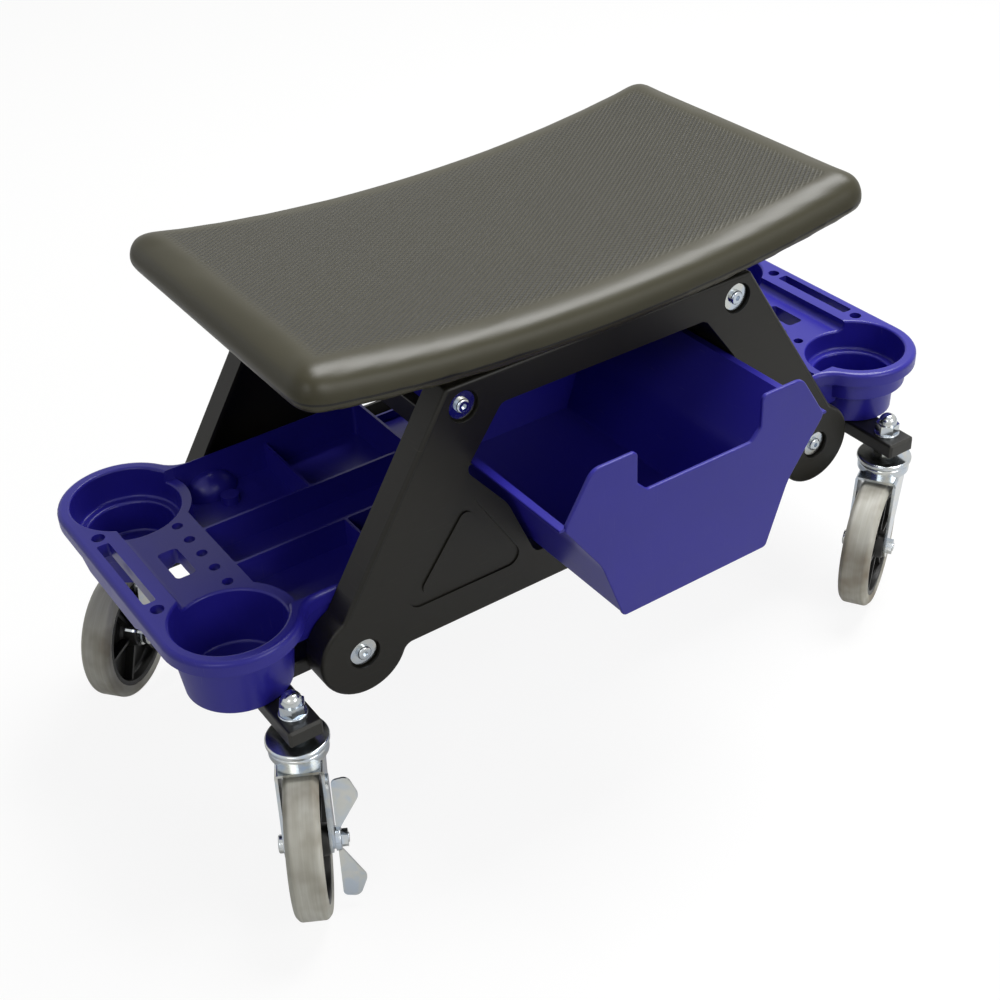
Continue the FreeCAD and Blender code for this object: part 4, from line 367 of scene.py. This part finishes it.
plug_polyethylene, tree, shader, spot = new_material("low_density_polyethylene", Roughness=0.5)
grain = add(tree, "TexNoise", {"Vector": spot, "Scale": 1 / PLUG_GRAIN, "Detail": 2})
tone = add(tree, "Mix", {"Factor": grain, 6: linear("#1e1d19"), 7: linear("#292823")}, data_type="RGBA")
surface(tree, shader, tone, None, grain, MOULD_DEPTH)
finish(plug_polyethylene, "beam_end_plugs")


# Tool tray and drawer
# Violet-blue polypropylene, injection moulded. The mould is half polished: a soft shine over
# slow sink waves, with a fine haze and the light scuffs of tools.

MOULD_GRAIN = 0.0008
TRAY_GRAIN_DEPTH = 0.00002
SINK_SIZE = 0.025
SINK_DEPTH = 0.00012
TRAY_CLOUD = 0.07
TRAY_SCUFF = (0.0007, 0.025, 0.025)
TRAY_SCUFF_TURN = (0, 0.3, 0.8)
TRAY_SCUFF_SHARES = (0.68, 0.78)
SCUFF_DULLING = 0.12

violet_polypropylene, tree, shader, spot = new_material("violet_polypropylene", IOR=1.49,
                                                        Specular_IOR_Level=0.42)
grain = add(tree, "TexNoise", {"Vector": spot, "Scale": 1 / MOULD_GRAIN, "Detail": 2})
sink = add(tree, "TexNoise", {"Vector": spot, "Scale": 1 / SINK_SIZE, "Detail": 1})
cloud = add(tree, "TexNoise", {"Vector": spot, "Scale": 1 / TRAY_CLOUD, "Detail": 4})
scuffs = add(tree, "Mapping", {"Vector": spot, "Scale": repeats(*TRAY_SCUFF),
                               "Rotation": TRAY_SCUFF_TURN})
scuffs = add(tree, "TexNoise", {"Vector": scuffs, "Scale": 1, "Detail": 2})
scuffs = add(tree, "MapRange", {"Value": scuffs, "From Min": TRAY_SCUFF_SHARES[0],
                                "From Max": TRAY_SCUFF_SHARES[1]})
tone = add(tree, "Mix", {"Factor": cloud, 6: linear("#262191"), 7: linear("#2c269d")}, data_type="RGBA")
tone = add(tree, "Mix", {"Factor": scuffs, 6: tone.outputs[2], 7: linear("#403a9a")}, data_type="RGBA")
gloss = add(tree, "MapRange", {"Value": cloud, "To Min": 0.27, "To Max": 0.38})
gloss = add(tree, "Math", {0: scuffs, 1: SCUFF_DULLING, 2: gloss}, operation="MULTIPLY_ADD")
relief = add(tree, "Math", {0: grain, 1: TRAY_GRAIN_DEPTH}, operation="MULTIPLY")
relief = add(tree, "Math", {0: sink, 1: SINK_DEPTH, 2: relief}, operation="MULTIPLY_ADD")
surface(tree, shader, tone, gloss, relief)
finish(violet_polypropylene, "tool_tray", "drawer")


# Caster steel, screws, washers and cap nuts
# Pressed and turned steel with bright zinc plate under a clear blue passivation, which gives a
# cool tint that shifts from place to place, and a soft spangle.

SPANGLE_SIZE = 0.003
SPANGLE_DEPTH = 0.00002
TINT_SIZE = 0.02
TINT_SHARES = (0.4, 0.62)
ZINC_CLOUD = 0.012
ZINC_CLOUD_SHARES = (0.3, 0.7)
DRAWN_LINES = (0.012, 0.012, 0.0006)
DRAWN_DEPTH = 0.000012

bright_zinc, tree, shader, spot = new_material("blue_passivated_zinc", Metallic=1)
spangle = add(tree, "TexVoronoi", {"Vector": spot, "Scale": 1 / SPANGLE_SIZE}, feature="SMOOTH_F1")
tint = add(tree, "TexNoise", {"Vector": spot, "Scale": 1 / TINT_SIZE, "Detail": 2, "Distortion": 1})
tint = add(tree, "MapRange", {"Value": tint, "From Min": TINT_SHARES[0], "From Max": TINT_SHARES[1]})
cloud = add(tree, "TexNoise", {"Vector": spot, "Scale": 1 / ZINC_CLOUD, "Detail": 5})
drawn = add(tree, "Mapping", {"Vector": spot, "Scale": repeats(*DRAWN_LINES)})
drawn = add(tree, "TexNoise", {"Vector": drawn, "Scale": 1, "Detail": 3})
tone = add(tree, "Mix", {"Factor": cloud, 6: linear("#c0c6c6"), 7: linear("#dedcd5")}, data_type="RGBA")
tone = add(tree, "Mix", {"Factor": tint, 6: tone.outputs[2], 7: linear("#c2ccd8")}, data_type="RGBA")
gloss = add(tree, "MapRange", {"Value": cloud, "From Min": ZINC_CLOUD_SHARES[0],
                               "From Max": ZINC_CLOUD_SHARES[1], "To Min": 0.12, "To Max": 0.24})
relief = add(tree, "Math", {0: spangle, 1: SPANGLE_DEPTH}, operation="MULTIPLY")
relief = add(tree, "Math", {0: drawn, 1: DRAWN_DEPTH, 2: relief}, operation="MULTIPLY_ADD")
surface(tree, shader, tone, gloss, relief)
finish(bright_zinc, "panel_screws", "panel_washers", "seat_screws", "tray_screws",
       "stem_cap_nuts", "brake_strap_fl", "brake_strap_rl", "brake_lever_fl", "brake_lever_rl")
for key in CORNERS:
    finish(bright_zinc, f"stem_{key}", f"fork_{key}", f"axle_{key}", f"axle_nut_{key}",
           f"axle_bush_{key}")


# Tyres
# Light grey thermoplastic rubber, moulded on to the hub. Rolling leaves a greyish brown film on
# it in fine streaks that run round the tread, and polishes it to a dull, waxy shine.

TREAD_STREAK = (0.0022, 0.05, 0.05)
STREAK_SHARES = (0.35, 0.7)
RUBBER_GRAIN = 0.001
RUBBER_CLOUD = 0.05
FILM_SHARES = (0.44, 0.68)

joints = {joint["name"]: joint for joint in frame["joints"]}
for key in CORNERS:
    grey_rubber, tree, shader, spot = new_material(f"grey_thermoplastic_rubber_{key}", IOR=1.45)
    axle = Vector(joints[f"wheel_{key}"]["axis"])
    turned = axle.to_track_quat("X", "Z").to_euler()
    centre = joints[f"wheel_{key}"]["pos_m"]
    round_tread = add(tree, "Mapping", {"Vector": spot, "Location": centre, "Rotation": turned,
                                        "Scale": TREAD_STREAK}, vector_type="TEXTURE")
    streaks = add(tree, "TexNoise", {"Vector": round_tread, "Scale": 1, "Detail": 3})
    grain = add(tree, "TexNoise", {"Vector": spot, "Scale": 1 / RUBBER_GRAIN, "Detail": 2})
    cloud = add(tree, "TexNoise", {"Vector": spot, "Scale": 1 / RUBBER_CLOUD, "Detail": 3})
    film = add(tree, "MapRange", {"Value": cloud, "From Min": FILM_SHARES[0],
                                  "From Max": FILM_SHARES[1]})
    streaks = add(tree, "MapRange", {"Value": streaks, "From Min": STREAK_SHARES[0],
                                     "From Max": STREAK_SHARES[1]})
    tone = add(tree, "Mix", {"Factor": streaks, 6: linear("#c8c7bd"), 7: linear("#bab8ab")},
               data_type="RGBA")
    tone = add(tree, "Mix", {"Factor": film, 6: tone.outputs[2], 7: linear("#8d8473")},
               data_type="RGBA")
    gloss = add(tree, "MapRange", {"Value": streaks, "To Min": 0.42, "To Max": 0.56})
    surface(tree, shader, tone, gloss, grain, MOULD_DEPTH)
    finish(grey_rubber, f"tyre_{key}")


# Hubs
# Black polypropylene, moulded with six spokes on each side. Satin, with faint clouds where the
# melt flowed.

HUB_CLOUD = 0.02

black_polypropylene, tree, shader, spot = new_material("black_polypropylene", Roughness=0.4, IOR=1.49)
grain = add(tree, "TexNoise", {"Vector": spot, "Scale": 1 / MOULD_GRAIN, "Detail": 2})
cloud = add(tree, "TexNoise", {"Vector": spot, "Scale": 1 / HUB_CLOUD, "Detail": 4})
tone = add(tree, "Mix", {"Factor": cloud, 6: linear("#131311"), 7: linear("#1e1e1b")}, data_type="RGBA")
surface(tree, shader, tone, None, grain, MOULD_DEPTH)
finish(black_polypropylene, *(f"hub_{key}" for key in CORNERS))


# Floor and background
# A plain white studio floor and wall. The camera sees them paler than they light the part, and
# reflections see a share of that. The floor keeps a soft shadow.

FLOOR_REACH = 14
SHADOW_SHARE = 0.17
MIRRORED_FLOOR = 0.25
MIRRORED_WALL = 0.8
FLOOR_FLECK = 0.002
FLOOR_GLOW = 1.08
WALL_LIGHT = 0.16


def seen_share(tree, mirrored_share):
    """Node that is 1 for what the camera sees, also through glass, and less for reflections."""
    rays = add(tree, "LightPath")
    mirrored = add(tree, "Math", {0: rays.outputs["Is Glossy Ray"], 1: mirrored_share},
                   operation="MULTIPLY")
    seen = add(tree, "Math", {0: rays.outputs["Is Camera Ray"], 1: mirrored}, operation="MAXIMUM")
    return add(tree, "Math", {0: seen, 1: rays.outputs["Is Transmission Ray"]}, operation="MAXIMUM")


floor_paper, tree, shader, spot = new_material("white_floor", Roughness=0.9, Specular_IOR_Level=0)
fleck = add(tree, "TexNoise", {"Vector": spot, "Scale": 1 / FLOOR_FLECK})
tone = add(tree, "Mix", {"Factor": fleck, 6: linear("#d6d6d4"), 7: linear("#dbdbd9")}, data_type="RGBA")
tree.links.new(tone.outputs[2], shader.inputs["Base Color"])
lift = add(tree, "Math", {0: seen_share(tree, MIRRORED_FLOOR), 1: 1 - SHADOW_SHARE},
           operation="MULTIPLY")
glow = add(tree, "Emission", {"Color": (1, 1, 1, 1), "Strength": FLOOR_GLOW})
mixed = add(tree, "MixShader", {"Fac": lift, 1: shader, 2: glow})
tree.links.new(mixed.outputs[0], tree.nodes["Material Output"].inputs["Surface"])
sweep = bmesh.new()
bmesh.ops.create_grid(sweep, x_segments=8, y_segments=8, size=FLOOR_REACH)
floor = new_piece("studio_floor", sweep, floor_paper)

world = bpy.data.worlds.new("studio")
bpy.context.scene.world = world
world.use_nodes = True
tree = world.node_tree
lit = add(tree, "Background", {"Color": linear("#f7f8fa"), "Strength": WALL_LIGHT})
white = add(tree, "Background", {"Color": (1, 1, 1, 1), "Strength": 1})
mixed = add(tree, "MixShader", {"Fac": seen_share(tree, MIRRORED_WALL), 1: lit, 2: white})
tree.links.new(mixed.outputs[0], tree.nodes["World Output"].inputs["Surface"])


# Lamps
# Three softboxes: the main one overhead, which draws the bright line along the cushion's front
# edge, and two weaker ones before the part, to the right and to the left.

AIM = Vector((0, 0, 0.25))
SOFTBOXES = {
    "overhead_softbox": ((1.15, 0.25, 2.6), 1.4, 74),
    "front_softbox": ((0.7, -2.3, 1.5), 1.1, 17),
    "left_softbox": ((-2.0, -1.4, 1.9), 1, 8),
}
for name, (place, size, power) in SOFTBOXES.items():
    lamp = bpy.data.lights.new(name, "AREA")
    lamp.size = size
    lamp.energy = power
    softbox = bpy.data.objects.new(name, lamp)
    softbox.location = place
    softbox.rotation_euler = (Vector(place) - AIM).to_track_quat("Z", "Y").to_euler()
    bpy.context.scene.collection.objects.link(softbox)


# Camera
# Where the photograph was taken from: before the left end, 35 degrees above the part, with a
# moderate long lens and a slight roll.

CAMERA_PLACE = (-0.6740, -1.0233, 1.0029)
CAMERA_AZIMUTH = math.radians(-32.75)
CAMERA_ELEVATION = math.radians(35.19)
CAMERA_ROLL = math.radians(-3.07)
SENSOR = 36
FOCAL_SHARE = 1.5713

back = Vector((math.sin(CAMERA_AZIMUTH) * math.cos(CAMERA_ELEVATION),
               -math.cos(CAMERA_AZIMUTH) * math.cos(CAMERA_ELEVATION),
               math.sin(CAMERA_ELEVATION)))
right = (-back).cross(Vector((0, 0, 1))).normalized()
up = right.cross(-back)
across = right * math.cos(CAMERA_ROLL) + up * math.sin(CAMERA_ROLL)
upward = up * math.cos(CAMERA_ROLL) - right * math.sin(CAMERA_ROLL)
camera_data = bpy.data.cameras.new("photograph")
camera_data.sensor_width = SENSOR
camera_data.lens = FOCAL_SHARE * SENSOR
camera = bpy.data.objects.new("photograph", camera_data)
camera.matrix_world = Matrix((across, upward, back)).transposed().to_4x4()
camera.location = CAMERA_PLACE
bpy.context.scene.collection.objects.link(camera)
bpy.context.scene.camera = camera
bpy.context.scene.view_settings.view_transform = "Standard"
